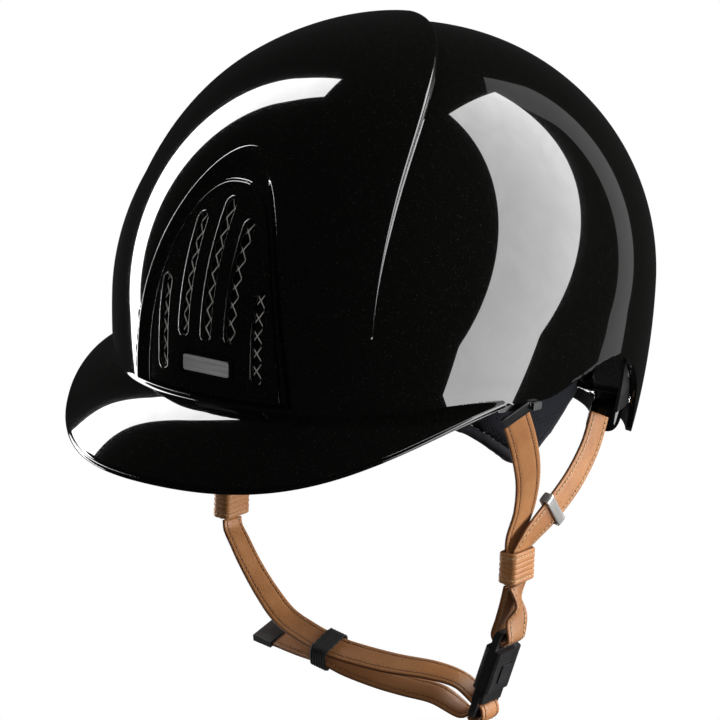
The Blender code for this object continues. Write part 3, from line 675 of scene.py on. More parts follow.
peak = bent_sheet("peak_moulding", 220, len(PEAK_SECTION) - 1, peak_shape)
tidy_faces(peak)
finish_piece(peak, BLACK_LACQUER, "peak")

# ---------------------------------------------------------------------------------------------
# Side straps. Two layers of tan leather glued back to back and sewn along both edges, 14 mm wide
# and 2 mm thick, with painted edges. The front pair hangs from the temples, the rear pair from
# the nape, and each side meets under the ear.
# ---------------------------------------------------------------------------------------------
STRAP_WIDTH, STRAP_THICKNESS = 14.0, 2.0
STITCH_INSET, STITCH_PITCH, STITCH_LENGTH, STITCH_WIDTH = 2.3, 2.3, 1.75, 0.62
STITCH_DEPTH = 0.18
LINING_SHIFT = 40.0
SPLIT_Z, END_GAP = -92.0, 0.9
SIDES = ((1, "left"), (-1, "right"))
# A route's rows are a point and the direction across the strap there, on the wearer's left.
FRONT_STRAP = [(97.8, -53, -4.2, 0.33, 0.93, 0.1), (94.5, -39.5, -20.5, 0.35, 0.9, 0.25),
               (88.4, -24.5, -39, 0.3, 0.9, 0.3), (82, -15.5, -56, 0.2, 0.95, 0.2),
               (77.4, -14.2, -70, 0.1, 1, 0.05), (76.4, -13.2, -80, 0.03, 1, 0),
               (76.2, -13, SPLIT_Z, 0, 1, 0)]
REAR_STRAP = [(89, 33, -22, 0.1, 0.75, -0.6), (88.5, 27, -36, 0.1, 0.7, -0.65),
              (87.5, 16, -49, 0.1, 0.72, -0.6), (85.2, 2.5, -60.5, 0.08, 0.8, -0.5),
              (81.8, -9.2, -70.5, 0.05, 0.99, -0.1), (79.1, -12.9, -79, 0.02, 1, 0),
              (78.7, -13, SPLIT_Z, 0, 1, 0)]


def stitch_group():
    """Two rows of needle holes in a pressed groove, near both edges of a strap, and the lining's
    cross creases. The strap's map gives millimetres across from its middle line and along its
    length; the lining side's map is shifted sideways."""
    tree, given, out = new_group("sewn_edges", {"Inset": 1.8, "Pitch": 2.3},
                                 ("Holes", "Groove", "Rim", "Ribs"))
    place = add_node(tree, "ShaderNodeUVMap").outputs["UV"]
    parts = add_node(tree, "ShaderNodeSeparateXYZ", {"Vector": place})

    def maths(operation, *values):
        return add_node(tree, "ShaderNodeMath", dict(enumerate(values)), operation=operation).outputs[0]

    lining = maths("GREATER_THAN", parts.outputs["X"], LINING_SHIFT / 2)
    shift = maths("MULTIPLY", lining, LINING_SHIFT)
    across = maths("ABSOLUTE", maths("SUBTRACT", parts.outputs["X"], shift))
    row = maths("SUBTRACT", across, maths("SUBTRACT", STRAP_WIDTH / 2, given.outputs["Inset"]))
    row = maths("ABSOLUTE", row)
    step = maths("FRACT", maths("DIVIDE", parts.outputs["Y"], given.outputs["Pitch"]))
    beside = maths("MULTIPLY", maths("SUBTRACT", step, 0.5), given.outputs["Pitch"])
    reach = maths("SQRT", maths("ADD", maths("MULTIPLY", row, row), maths("MULTIPLY", beside, beside)))
    creases = add_node(tree, "ShaderNodeTexWave", {"Vector": place, "Scale": 0.55, "Distortion": 0.4},
                       wave_type="BANDS", bands_direction="Y")
    tree.links.new(ranged(tree, reach, 0.55, 0.25), out.inputs["Holes"])
    tree.links.new(ranged(tree, row, 0.8, 0.1), out.inputs["Groove"])
    rim = ranged(tree, across, STRAP_WIDTH / 2 - 0.45, STRAP_WIDTH / 2 - 0.1)
    tree.links.new(rim, out.inputs["Rim"])
    tree.links.new(maths("MULTIPLY", creases.outputs["Fac"], lining), out.inputs["Ribs"])
    return tree


def grain_group():
    """Leather's grain: small tight cells broken by larger, softer patches of tone."""
    tree, given, out = new_group("leather_grain", {"Cells": 1500.0, "Patches": 60.0},
                                 ("Grain", "Tone"))
    where = object_space(tree)
    cells = add_node(tree, "ShaderNodeTexVoronoi", {"Vector": where, "Scale": given.outputs["Cells"]},
                     feature="DISTANCE_TO_EDGE")
    tone = noise(tree, where, given.outputs["Patches"], 5, Roughness=0.6)
    tree.links.new(ranged(tree, cells.outputs["Distance"], 0.0, 0.22), out.inputs["Grain"])
    tree.links.new(tone, out.inputs["Tone"])
    return tree


SEWN_EDGES = stitch_group()
LEATHER_GRAIN = grain_group()


def leather(name, sewn):
    """Aniline tan leather: warm tone with darker pores and, where it is sewn along its edges,
    needle holes and a groove darkened as painted shade, the lining face darkened in rib bands as painted
    shade, and painted edges."""
    material, tree, shader = new_material(name, Specular_IOR_Level=0.42, Sheen_Weight=0.08,
                                          Sheen_Roughness=0.5)
    grain = add_node(tree, "ShaderNodeGroup", {"Cells": 1300, "Patches": 55}, node_tree=LEATHER_GRAIN)
    tone = ranged(tree, grain.outputs["Tone"], 0.3, 0.7)
    colour = mixed(tree, tone, (0.39, 0.16, 0.052, 1), (0.52, 0.235, 0.082, 1))
    pore = mixed(tree, grain.outputs["Grain"], (0.72, 0.66, 0.6, 1), (1, 1, 1, 1))
    colour = mixed(tree, 1.0, colour, pore, "MULTIPLY")
    height = grain.outputs["Grain"]
    if sewn:
        seams = add_node(tree, "ShaderNodeGroup", {"Inset": STITCH_INSET, "Pitch": STITCH_PITCH},
                         node_tree=SEWN_EDGES)
        ribs_and_back_shade = seams.outputs["Ribs"]
        # Painted shade: the lining face is darkened in its rib bands, standing in for shade on the
        # strap's back face; the ribs also bump it.
        colour = mixed(tree, ribs_and_back_shade, colour, mixed(tree, 0.75, colour, (0.22, 0.1, 0.04, 1)))
        # Painted shade: the sewn groove is darkened for the shade that falls in the recess.
        pressed = mixed(tree, 0.35, colour, (0.16, 0.06, 0.02, 1))
        colour = mixed(tree, seams.outputs["Groove"], colour, pressed)
        # Painted shade: the needle holes are painted near black for the shade inside them.
        colour = mixed(tree, seams.outputs["Holes"], colour, (0.045, 0.018, 0.008, 1))
        colour = mixed(tree, seams.outputs["Rim"], colour, (0.15, 0.052, 0.016, 1))
        height = add_node(tree, "ShaderNodeMath", {0: ribs_and_back_shade, 1: 0.8, 2: height},
                          operation="MULTIPLY_ADD").outputs[0]
        height = add_node(tree, "ShaderNodeMath", {0: seams.outputs["Holes"], 1: -2.5, 2: height},
                          operation="MULTIPLY_ADD").outputs[0]
    roughness = ranged(tree, grain.outputs["Tone"], 0.25, 0.75, 0.34, 0.5)
    tree.links.new(colour, shader.inputs["Base Color"])
    tree.links.new(roughness, shader.inputs["Roughness"])
    texture(tree, shader, 0.35, 0.00012, height)
    return material


def thread(name, colour, dark):
    """Waxed twisted thread."""
    material, tree, shader = new_material(name, Roughness=0.5, Specular_IOR_Level=0.3)
    twist = noise(tree, object_space(tree), 1800, 2)
    tree.links.new(mixed(tree, twist, dark, colour), shader.inputs["Base Color"])
    texture(tree, shader, 0.4, 0.0001, twist)
    return material


TAN_LEATHER = leather("tan_strap_leather", True)
TAN_THREAD = thread("tan_thread", (0.42, 0.2, 0.085, 1), (0.2, 0.085, 0.03, 1))
# Painted highlight: a lighter cream copy of the tan thread, for the stitches of the rear straps, the
# buckle strap and the keepers.
THREAD_WITH_PAINTED_HIGHLIGHT = thread("thread_with_painted_highlight", (0.7, 0.48, 0.28, 1), (0.42, 0.24, 0.12, 1))

# A quarter of a strap's section, from the middle of the face to the middle of the edge, as (across,
# outward): a slightly crowned face with a sewn groove, and a rounded edge.
QUARTER_SECTION = [(0, 1.0), (2, 1.0), (3.1, 0.98), (4.0, 0.9), (4.4, 0.8), (4.7, 0.74), (5.0, 0.8),
                   (5.4, 0.87), (6.0, 0.84), (6.55, 0.7), (6.9, 0.4), (7.0, 0)]
FACE_SECTION = [(-x, y) for x, y in reversed(QUARTER_SECTION[1:])] + QUARTER_SECTION
STRAP_SECTION = FACE_SECTION + [(-x, -y) for x, y in FACE_SECTION][1:]


def route_steps(route, spacing):
    """Even places along a route: (distance, point, run, across, outward)."""
    fine = [smooth_path(route, k / 400) for k in range(401)]
    far = [0.0]
    for before, after in zip(fine, fine[1:]):
        far.append(far[-1] + (Vector(after[:3]) - Vector(before[:3])).length)
    count = max(2, round(far[-1] / spacing))
    steps, k = [], 0
    for n in range(count + 1):
        target = far[-1] * n / count
        while k < 399 and far[k + 1] < target:
            k += 1
        share = (k + (target - far[k]) / max(1e-9, far[k + 1] - far[k])) / 400
        here = smooth_path(route, min(1.0, share))
        ahead = smooth_path(route, min(1, share + 0.006)) - smooth_path(route, max(0, share - 0.006))
        run = Vector(ahead[:3]).normalized()
        across = Vector(here[3:])
        across = (across - run * across.dot(run)).normalized()
        steps.append((target, Vector(here[:3]), run, across, run.cross(across)))
    return steps


def stitch_model():
    """One thread stitch, 1 mm long here and lying along X: a rounded bar of a few faces."""
    start_piece()
    bpy.ops.mesh.primitive_cylinder_add(vertices=6, radius=0.5, depth=1, end_fill_type="TRIFAN")
    stitch = bpy.context.object
    bpy.ops.object.mode_set(mode="EDIT")
    bpy.ops.mesh.select_all(action="SELECT")
    bpy.ops.transform.rotate(value=math.pi / 2, orient_axis="Y", center_override=(0, 0, 0))
    bpy.ops.object.mode_set(mode="OBJECT")
    for corner in stitch.data.vertices:
        if abs(corner.co.y) < 0.01 and abs(corner.co.z) < 0.01:
            corner.co.x *= 1.25
        else:
            corner.co.x *= 0.8
    corners = [corner.co.copy() for corner in stitch.data.vertices]
    faces = [tuple(face.vertices) for face in stitch.data.polygons]
    bpy.data.objects.remove(stitch)
    return corners, faces


STITCH_CORNERS, STITCH_FACES = stitch_model()


def sew(name, seats, material):
    """Rows of stitches; each seat is a point, the way the thread runs and the way out."""
    corners, faces = [], []
    for point, run, outward in seats:
        side = outward.cross(run)
        first = len(corners)
        corners += [(point + run * c.x * STITCH_LENGTH + side * c.y * STITCH_WIDTH
                     + outward * c.z * STITCH_WIDTH * 0.8) * MM for c in STITCH_CORNERS]
        faces += [tuple(first + k for k in face) for face in STITCH_FACES]
    mesh = bpy.data.meshes.new(name)
    mesh.from_pydata(corners, [], faces)
    mesh.materials.append(material)
    rows = new_object(name, mesh)
    tidy_faces(rows)
    return rows


def strap(name, route, node, thread_material, body="root", spacing=1.4):
    """A strap sewn along both edges and on both faces, with its threads, as one piece."""
    steps = route_steps(route, spacing)
    last = len(steps) - 1

    def shape(u, v):
        _, point, run, across, outward = steps[round(u * last)]
        a, b = STRAP_SECTION[round(v * (len(STRAP_SECTION) - 1))]
        return point + across * a + outward * b * STRAP_THICKNESS / 2

    band = bent_sheet(name, last, len(STRAP_SECTION) - 1, shape)
    chart = band.data.uv_layers[0].data
    for face in band.data.polygons:
        rings = [band.data.loops[k].vertex_index // len(steps) for k in face.loop_indices]
        lining = sum(STRAP_SECTION[ring][1] for ring in rings) < 0
        for k, ring in zip(face.loop_indices, rings):
            station = band.data.loops[k].vertex_index % len(steps)
            chart[k].uv = (STRAP_SECTION[ring][0] + (LINING_SHIFT if lining else 0), steps[station][0])
    close_ends(band, 0.02)
    band.data.materials.append(TAN_LEATHER)
    seats = []
    total = steps[-1][0]
    for n in range(1, int(total / STITCH_PITCH)):
        wanted = n * STITCH_PITCH
        far, point, run, across, outward = steps[round(wanted / total * last)]
        for line in (1, -1):
            for face in (1, -1):
                seat = (point + run * (wanted - far) + across * line * (STRAP_WIDTH / 2 - STITCH_INSET)
                        + outward * face * (STRAP_THICKNESS / 2 - STITCH_DEPTH))
                seats.append((seat, run, outward * face))
    join_pieces(band, [sew(f"{name}_thread", seats, thread_material)])
    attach(band, body)
    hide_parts(node)


def on_side(route, side):
    """The route as given, on the left (1), or mirrored to the right (-1)."""
    return [(side * x, y, z, side * ax, ay, az) for x, y, z, ax, ay, az in route]


for side, name in SIDES:
    strap(f"front_strap_{name}", on_side(FRONT_STRAP, side), f"strap_front_{name}", TAN_THREAD)
    strap(f"rear_strap_{name}", on_side(REAR_STRAP, side), f"strap_rear_{name}", THREAD_WITH_PAINTED_HIGHLIGHT)

# Each front strap's top is pressed into a flat black moulded tab under the rim.
TAB_WIDTH, TAB_ABOVE, TAB_BELOW, TAB_LIFT, TAB_THICKNESS = 15.2, 5.0, 1.4, 1.2, 1.0


def strap_tab(side, name):
    """A flat plate over the top of a front strap, on its outer face."""
    _, point, run, across, outward = route_steps(on_side(FRONT_STRAP, side), 5.0)[0]
    half = TAB_WIDTH / 2

    def shape(u, v):
        return (point + across * mix(-half, half, u) + run * mix(-TAB_ABOVE, TAB_BELOW, v)
                + outward * side * TAB_LIFT)

    tab = bent_sheet(f"strap_tab_{name}", 6, 4, shape)
    use_modifier(tab, "SOLIDIFY", thickness=TAB_THICKNESS * MM, offset=0)
    use_modifier(tab, "BEVEL", width=0.35 * MM, segments=2, limit_method="ANGLE")
    tidy_faces(tab)
    bpy.ops.object.shade_smooth_by_angle(angle=math.radians(40))
    return tab


STRAP_TABS = [strap_tab(side, name) for side, name in SIDES]

# ---------------------------------------------------------------------------------------------
# Buckle loop. The left straps' shared end: it drops through the keeper, goes round the buckle's
# upper bar and comes back with a slight twist in its outer run.
# ---------------------------------------------------------------------------------------------
BUCKLE_MOUTH = Vector((66.5, -12.0, -143.0))
BUCKLE_DOWN = Vector((-0.29, 0.0, -0.957)).normalized()
BAR_THICKNESS = 3.2
BAR_CLEARANCE = 0.9
LOOP_RADIUS = BAR_THICKNESS * 0.8 + STRAP_THICKNESS / 2 + BAR_CLEARANCE
UPPER_BAR_Z, LOWER_BAR_Z = -27.8, 12.8


def buckle_point(outward, down):
    """A point in the buckle's middle plane, with the strap's direction across."""
    out = BUCKLE_DOWN.cross(Vector((0, 1, 0)))
    point = BUCKLE_MOUTH + out * outward + BUCKLE_DOWN * down
    return (*point, 0, 1, 0)


upper_bend = [buckle_point(-LOOP_RADIUS * math.cos(a), UPPER_BAR_Z + LOOP_RADIUS * math.sin(a))
              for a in (math.radians(30 * k) for k in range(7))]
inner_run = [(76.2, -13, SPLIT_Z - END_GAP, 0, 1, 0), (74.4, -12.6, -101, 0, 1, 0),
             (72.2, -12.1, -109, 0, 1, 0)]
outer_run = [(78.6, -12.1, -109, 0.15, 0.99, 0), (79.3, -12.6, -101, -0.42, 0.9, 0),
             (78.7, -13, SPLIT_Z - END_GAP, 0, 1, 0)]
strap("buckle_strap", inner_run + upper_bend + outer_run, "strap_buckle_loop", THREAD_WITH_PAINTED_HIGHLIGHT, spacing=1.0)

# ---------------------------------------------------------------------------------------------
# Chin strap. The same sewn leather, from the right keeper under the chin, round the tongue's bar
# and back on itself to a black moulded tip, held down by a ribbed elastic loop.
# ---------------------------------------------------------------------------------------------
lower_bend = [buckle_point(LOOP_RADIUS * math.cos(a), LOWER_BAR_Z + LOOP_RADIUS * math.sin(a))
              for a in (math.radians(k) for k in (-115, -60, 0, 50, 100, 140))]
chin_upper = [(-77.4, -13, SPLIT_Z - END_GAP, 0, 1, 0), (-76.2, -13.4, -97, 0, 1, 0),
              (-71.5, -15, -102, 0, 1, 0.05), (-62.5, -18, -111, 0, 1, 0.1),
              (-51, -21, -121, 0, 1, 0.2), (-38.5, -24, -129.3, 0, 1, 0.3),
              (-24.8, -25.5, -134, 0, 1, 0.38), (-12, -26, -137, 0, 1, 0.4),
              (0, -25.6, -138.5, 0, 1, 0.4), (20, -23, -139.8, 0, 1, 0.38),
              (40, -19, -140, 0, 1, 0.3), (53, -15, -143, 0, 1, 0.1)]
chin_lower = [(54, -14, -157, 0, 1, 0.05), (43, -18, -151, 0, 1, 0.3), (30, -21, -149.4, 0, 1, 0.38),
              (16, -23.5, -147.8, 0, 1, 0.4), (0, -25.6, -145, 0, 1, 0.4), (-12, -26, -142, 0, 1, 0.4),
              (-26, -25.5, -141, 0, 1, 0.38), (-39, -25, -139.6, 0, 1, 0.35)]
strap("chin_strap_band", chin_upper + lower_bend + chin_lower, "chin_strap", TAN_THREAD, body="chin",
      spacing=1.3)

# ---------------------------------------------------------------------------------------------
# Strap keepers. A short leather sleeve on each side where the two straps meet: edges rolled in,
# a row of stitches near each end in thread painted light cream as a highlight, and three pressed grooves
# between.
# ---------------------------------------------------------------------------------------------
KEEPER_SIZE, KEEPER_HALF, KEEPER_WALL, KEEPER_ROLL = (9.4, 18.2), 7.25, 1.2, 0.9
KEEPER_PLACE = Vector((77.9, -13.0, -84.0))
KEEPER_STITCH_ROW = 5.1


def moved_out(outline, u, out):
    """The corner at u (0 to 1) round a closed outline, moved outward."""
    count = len(outline)
    k = round(u * count) % count
    ahead = Vector(outline[(k + 1) % count]) - Vector(outline[k - 1])
    return Vector(outline[k]) + Vector((ahead.y, -ahead.x)).normalized() * out


def sleeve(name, place, outline, section):
    """A closed band round an outline. Section rows are (along the sleeve, out from the outline),
    and place(a, b, along) turns them into a point."""
    def shape(u, v):
        along, out = section[round(v * (len(section) - 1))]
        return place(*moved_out(outline, u, out), along)

    band = bent_sheet(name, len(outline), len(section) - 1, shape)
    tidy_faces(band, merge=0.005)
    return band


def walk(outline, pitch):
    """Even steps round a closed outline: points and the way ahead."""
    steps, left = [], 0.0
    for k, start in enumerate(outline):
        start, end = Vector(start), Vector(outline[(k + 1) % len(outline)])
        length = (end - start).length
        while left < length:
            steps.append((start.lerp(end, left / length), (end - start).normalized()))
            left += pitch
        left -= length
    return steps


def keeper_profile(h):
    """How far the sleeve's face dips at h along it: rolled ends, sewn rows and three grooves."""
    edge = max(0.0, (abs(h) - KEEPER_HALF + KEEPER_ROLL) / KEEPER_ROLL)
    sewn = math.exp(-((abs(h) - KEEPER_STITCH_ROW) / 0.45) ** 2)
    bands = sum(math.exp(-((h - at) / 0.38) ** 2) for at in (-2.4, 0, 2.4))
    return -0.75 * edge**2 - 0.32 * sewn - 0.4 * bands


keeper_steps = [mix(-KEEPER_HALF, KEEPER_HALF, k / 72) for k in range(73)]
KEEPER_SECTION = [(h, keeper_profile(h)) for h in keeper_steps]
KEEPER_SECTION += [(KEEPER_HALF - 0.3, 0.1 - KEEPER_WALL), (KEEPER_HALF - 1.2, -KEEPER_WALL),
                   (1.2 - KEEPER_HALF, -KEEPER_WALL), (0.3 - KEEPER_HALF, 0.1 - KEEPER_WALL),
                   KEEPER_SECTION[0]]
PLAIN_LEATHER = leather("tan_keeper_leather", False)
keeper_outline = rounded_plate(*KEEPER_SIZE, 2.6)
for side, name in SIDES:
    middle = Vector((side * KEEPER_PLACE.x, KEEPER_PLACE.y, KEEPER_PLACE.z))
    keeper = sleeve(f"keeper_{name}_sleeve", lambda a, b, h: middle + Vector((a, b, h)),
                    keeper_outline, KEEPER_SECTION)
    keeper.data.materials.append(PLAIN_LEATHER)
    seats = []
    for place, ahead in walk(keeper_outline, STITCH_PITCH):
        out = Vector((ahead.y, -ahead.x, 0))
        for row in (-KEEPER_STITCH_ROW, KEEPER_STITCH_ROW):
            seats.append((middle + Vector((*place, row)) - out * 0.25, Vector((*ahead, 0)), out))
    join_pieces(keeper, [sew(f"keeper_{name}_thread", seats, THREAD_WITH_PAINTED_HIGHLIGHT)])
    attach(keeper, f"keeper_{name}")
    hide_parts(f"keeper_{name}")

# ---------------------------------------------------------------------------------------------
# Strap slides. A bent and polished steel wrap round the middle of each rear strap.
# ---------------------------------------------------------------------------------------------
SLIDE_SIZE = (17.6, 5.2)
SLIDE_SECTION = [(-2.5, -0.55), (-2.35, -0.15), (-1.95, 0), (-0.6, 0.06), (0.6, 0.06), (1.95, 0),
                 (2.35, -0.15), (2.5, -0.55), (2.3, -0.95), (-2.3, -0.95), (-2.5, -0.55)]


def metal(name, colour, roughness, scratch, metallic):
    """Plated steel with hairline marks."""
    material, tree, shader = new_material(name, Metallic=metallic, Roughness=roughness)
    stretch = add_node(tree, "ShaderNodeMapping", {"Vector": object_space(tree),
                                                   "Scale": (60, 4000, 4000)})
    marks = noise(tree, stretch.outputs["Vector"], 1, 3)
    tone = ranged(tree, marks, 0.3, 0.7, 1 - scratch, 1.0)
    tree.links.new(mixed(tree, tone, (0, 0, 0, 1), colour), shader.inputs["Base Color"])
    texture(tree, shader, scratch, 0.00005, marks)
    return material


POLISHED_STEEL = metal("polished_steel", (0.74, 0.73, 0.71, 1), 0.16, 0.12, 0.6)
for side, name in SIDES:
    route = on_side(REAR_STRAP, side)
    halfway = Vector(smooth_path(route, 0.5)[:3])
    nearest = min(route_steps(route, 1.0), key=lambda step: (step[1] - halfway).length)
    _, point, run, across, outward = nearest
    slide = sleeve(f"slide_{name}_wrap", lambda a, b, h: point + across * a + outward * b + run * h,
                   rounded_plate(*SLIDE_SIZE, 1.3), SLIDE_SECTION)
    finish_piece(slide, POLISHED_STEEL, f"slide_{name}", f"slide_{name}")

# ---------------------------------------------------------------------------------------------
# Elastic loop. Ribbed black webbing sewn into a ring, which holds the strap's free end down.
# ---------------------------------------------------------------------------------------------
ELASTIC_PLACE = Vector((-12.0, -26.0, -139.5))
ELASTIC_SIZE, ELASTIC_HALF, ELASTIC_WALL = (18.0, 12.0), 4.5, 1.0
ELASTIC_RIBS = 6


def webbing(name, colour, light):
    """Matt woven textile with a soft nap."""
    material, tree, shader = new_material(name, Roughness=0.8, Specular_IOR_Level=0.2,
                                          Sheen_Weight=0.07, Sheen_Roughness=0.4)
    weave = noise(tree, object_space(tree), 900, 3)
    tree.links.new(mixed(tree, weave, colour, light), shader.inputs["Base Color"])
    texture(tree, shader, 0.5, 0.0002, weave)
    return material


ELASTIC_SECTION = [(mix(-ELASTIC_HALF, ELASTIC_HALF, k / 54),
                    -0.16 - 0.13 * math.cos(math.tau * ELASTIC_RIBS * k / 54)) for k in range(55)]
ELASTIC_SECTION += [(ELASTIC_HALF - 0.15, 0.1 - ELASTIC_WALL), (0.15 - ELASTIC_HALF, 0.1 - ELASTIC_WALL),
                    ELASTIC_SECTION[0]]
along = Vector((0.98, 0.02, -0.2)).normalized()
across = Vector((0, 1, 0.4))
across = (across - along * across.dot(along)).normalized()
outward = along.cross(across)


def elastic_place(a, b, h):
    """A point of the loop, with its two edges a little wavy."""
    ripple = 0.22 * math.sin(a * 1.7) * (h / ELASTIC_HALF)
    return ELASTIC_PLACE + across * a + outward * b + along * (h * 0.96 + ripple)


elastic_outline = [place for place, ahead in walk(rounded_plate(*ELASTIC_SIZE, 2.8), 0.8)]
elastic = sleeve("elastic_webbing", elastic_place, elastic_outline, ELASTIC_SECTION)
BLACK_ELASTIC = webbing("black_elastic", (0.012, 0.012, 0.012, 1), (0.03, 0.03, 0.03, 1))
finish_piece(elastic, BLACK_ELASTIC, "elastic_keeper", "elastic_loop")

# ---------------------------------------------------------------------------------------------
# Fittings that keep their modelled shape: buckle, strap tip, strap anchors, peak clips, rivets,
# badge holder and plate, the outlet's screen and the foam liner.
# ---------------------------------------------------------------------------------------------
def moulded(name, colour, roughness, grain):
    """Moulded nylon with a fine spark-eroded grain."""
    material, tree, shader = new_material(name, Specular_IOR_Level=0.45)
    where = object_space(tree)
    tone = noise(tree, where, 90, 3)
    pale = (*(channel * 1.6 for channel in colour[:3]), 1)
    tree.links.new(mixed(tree, tone, colour, pale), shader.inputs["Base Color"])
    worn = ranged(tree, tone, 0.3, 0.7, roughness - 0.06, roughness + 0.08)
    tree.links.new(worn, shader.inputs["Roughness"])
    texture(tree, shader, grain, 0.0001, noise(tree, where, 2400, 2))
    return material


SATIN_BLACK = moulded("satin_black_nylon", (0.011, 0.011, 0.012, 1), 0.4, 0.25)
# The screens and the plate are only partly metallic, so that the room's light shows on them.
SCREEN_METAL = metal("screen_metal", (0.85, 0.82, 0.76, 1), 0.26, 0.2, 0.25)
BRUSHED_METAL = metal("brushed_plate", (0.8, 0.8, 0.81, 1), 0.4, 0.45, 0.3)


def foam(name):
    """Expanded foam: dark fused beads with fine pits where they meet, painted darker there as shade."""
    material, tree, shader = new_material(name, Roughness=0.85, Specular_IOR_Level=0.2)
    beads = add_node(tree, "ShaderNodeTexVoronoi", {"Vector": object_space(tree), "Scale": 380},
                     feature="DISTANCE_TO_EDGE")
    bead = ranged(tree, beads.outputs["Distance"], 0.0, 0.12)
    # Painted shade: the foam is darker in the pits where the beads meet.
    colour = mixed(tree, bead, (0.006, 0.006, 0.007, 1), (0.022, 0.022, 0.024, 1))
    tree.links.new(colour, shader.inputs["Base Color"])
    texture(tree, shader, 0.5, 0.0003, bead)
    return material


def dress(material, *names):
    """Gives CAD nodes that keep their shape a finish."""
    for name in names:
        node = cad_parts[name]
        node.data.materials.clear()
        node.data.materials.append(material)


for tab in STRAP_TABS:
    finish_piece(tab, SATIN_BLACK, None)
dress(SATIN_BLACK, "buckle_housing", "buckle_tongue", "release_button", "strap_tip",
      *(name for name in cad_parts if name.startswith(("anchor", "peak_clip"))))
dress(POLISHED_STEEL, *(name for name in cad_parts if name.startswith("rivet")))
dress(BLACK_LACQUER, "badge_holder")
dress(BRUSHED_METAL, "badge_plate")
dress(SCREEN_METAL, "outlet_screen")
dress(foam("liner_foam"), "impact_liner")

# ---------------------------------------------------------------------------------------------
# Nape guard. A glossy black moulded bar inside the rear rim, round-edged all the way along.
# ---------------------------------------------------------------------------------------------
GUARD_BEARINGS = (118.2, 241.8)
GUARD_MIDDLE_Z, GUARD_HEIGHT = -26.5, 15.0
GUARD_MIDDLE_OFFSET, GUARD_DEPTH = -13.1, 13.8
GUARD_END, GUARD_END_SCALE, GUARD_SCALE_ALONG = 4.0, 0.55, 2.0
guard_outline = rounded_plate(GUARD_DEPTH, GUARD_HEIGHT, 3.4)


def guard_shape(u, v):
    """The bar's surface; GUARD_SCALE_ALONG is about how many millimetres a degree covers."""
    from_end = min(u, 1 - u) * (GUARD_BEARINGS[1] - GUARD_BEARINGS[0]) * GUARD_SCALE_ALONG
    swell = math.sqrt(max(0.0, 1 - max(0.0, 1 - from_end / GUARD_END) ** 2))
    across, up = guard_outline[round(v * len(guard_outline)) % len(guard_outline)]
    scale = mix(GUARD_END_SCALE, 1.0, swell)
    return wall_point(mix(*GUARD_BEARINGS, u), GUARD_MIDDLE_Z + up * scale,
                      GUARD_MIDDLE_OFFSET + across * scale)


guard = bent_sheet("nape_guard_moulding", 150, len(guard_outline), guard_shape)
close_ends(guard, 0.01)
finish_piece(guard, BLACK_LACQUER, "nape_guard")

# ---------------------------------------------------------------------------------------------
# Badge rim. A rounded lacquered bead round the badge's pocket.
# ---------------------------------------------------------------------------------------------
# The bead's section, as (out from the outline, height over the skin).
BADGE_BEAD = [(1.0, -2.5), (0.85, -2.0), (0.6, -1.6), (0.3, -1.42), (0.0, -1.4), (-0.3, -1.5),
              (-0.55, -1.8), (-0.7, -2.3), (-0.75, -3.3)]
badge_outline = rounded_plate(BADGE_WIDTH - 2.0, BADGE_HEIGHT - 2.0, 1.6)


def badge_bead(u, v):
    out, lift = BADGE_BEAD[round(v * (len(BADGE_BEAD) - 1))]
    x, z = moved_out(badge_outline, u, out)
    return skin_point(x, z + BADGE_Z, lift)


bead = bent_sheet("badge_rim", len(badge_outline), len(BADGE_BEAD) - 1, badge_bead)
tidy_faces(bead, merge=0.005)
finish_piece(bead, BLACK_LACQUER, None)

# ---------------------------------------------------------------------------------------------
# Vent screen. Expanded metal with tall diamond openings, bedded behind the vent's slots.
# ---------------------------------------------------------------------------------------------
CELL_WIDTH, CELL_HEIGHT, SCREEN_LIFT, STRAND = 5.0, 7.6, -5.65, 0.8
SCREEN_FOOT_Z, SCREEN_TOP_GAP, SCREEN_SIDE_GAP = 4, 2, 1.5


def within_vent(x, z):
    """Whether a place on the helmet's front is far enough inside the vent for the screen."""
    half, top, power = ARCH_OUTER
    rise = max(0.0, (z - ARCH_FOOT_Z) / (top - SCREEN_TOP_GAP - ARCH_FOOT_Z))
    return (SCREEN_FOOT_Z < z < top - SCREEN_TOP_GAP
            and abs(x) < (half - SCREEN_SIDE_GAP) * (1 - rise**ARCH_POWER) ** power)


def screen_sheet(name):
    """Diamond cells laid over the vent, on the helmet's curve."""
    corners, index, faces = [], {}, []

    def place(i, j):
        return i * CELL_WIDTH / 2, j * CELL_HEIGHT / 2

    def corner(i, j):
        if (i, j) not in index:
            index[i, j] = len(corners)
            corners.append(skin_point(*place(i, j), SCREEN_LIFT) * MM)
        return index[i, j]

    for i in range(-16, 17):
        for j in range(-2, 30):
            cell = [(i - 1, j), (i, j - 1), (i + 1, j), (i, j + 1)]
            if (i + j) % 2 and all(within_vent(*place(*tip)) for tip in cell):
                faces.append([corner(*tip) for tip in cell])
    mesh = bpy.data.meshes.new(name)
    mesh.from_pydata(corners, [], faces)
    sheet = new_object(name, mesh)
    tidy_faces(sheet, smooth=False)
    return sheet


screen = screen_sheet("vent_mesh")
use_modifier(screen, "WIREFRAME", thickness=STRAND * MM, use_boundary=True, use_even_offset=False)
tidy_faces(screen)
finish_piece(screen, SCREEN_METAL, "vent_screen")

# ---------------------------------------------------------------------------------------------
# Comfort pads. Foam covered in a black 3-D mesh cloth, puffed a little by their filling, with the
# side pads edged in a velvet binding.
# ---------------------------------------------------------------------------------------------
PAD_MOVEMENT, PAD_GROWTH = 0.8, 0.6
PAD_PRESSURE, PAD_FRAMES = 4.0, 20


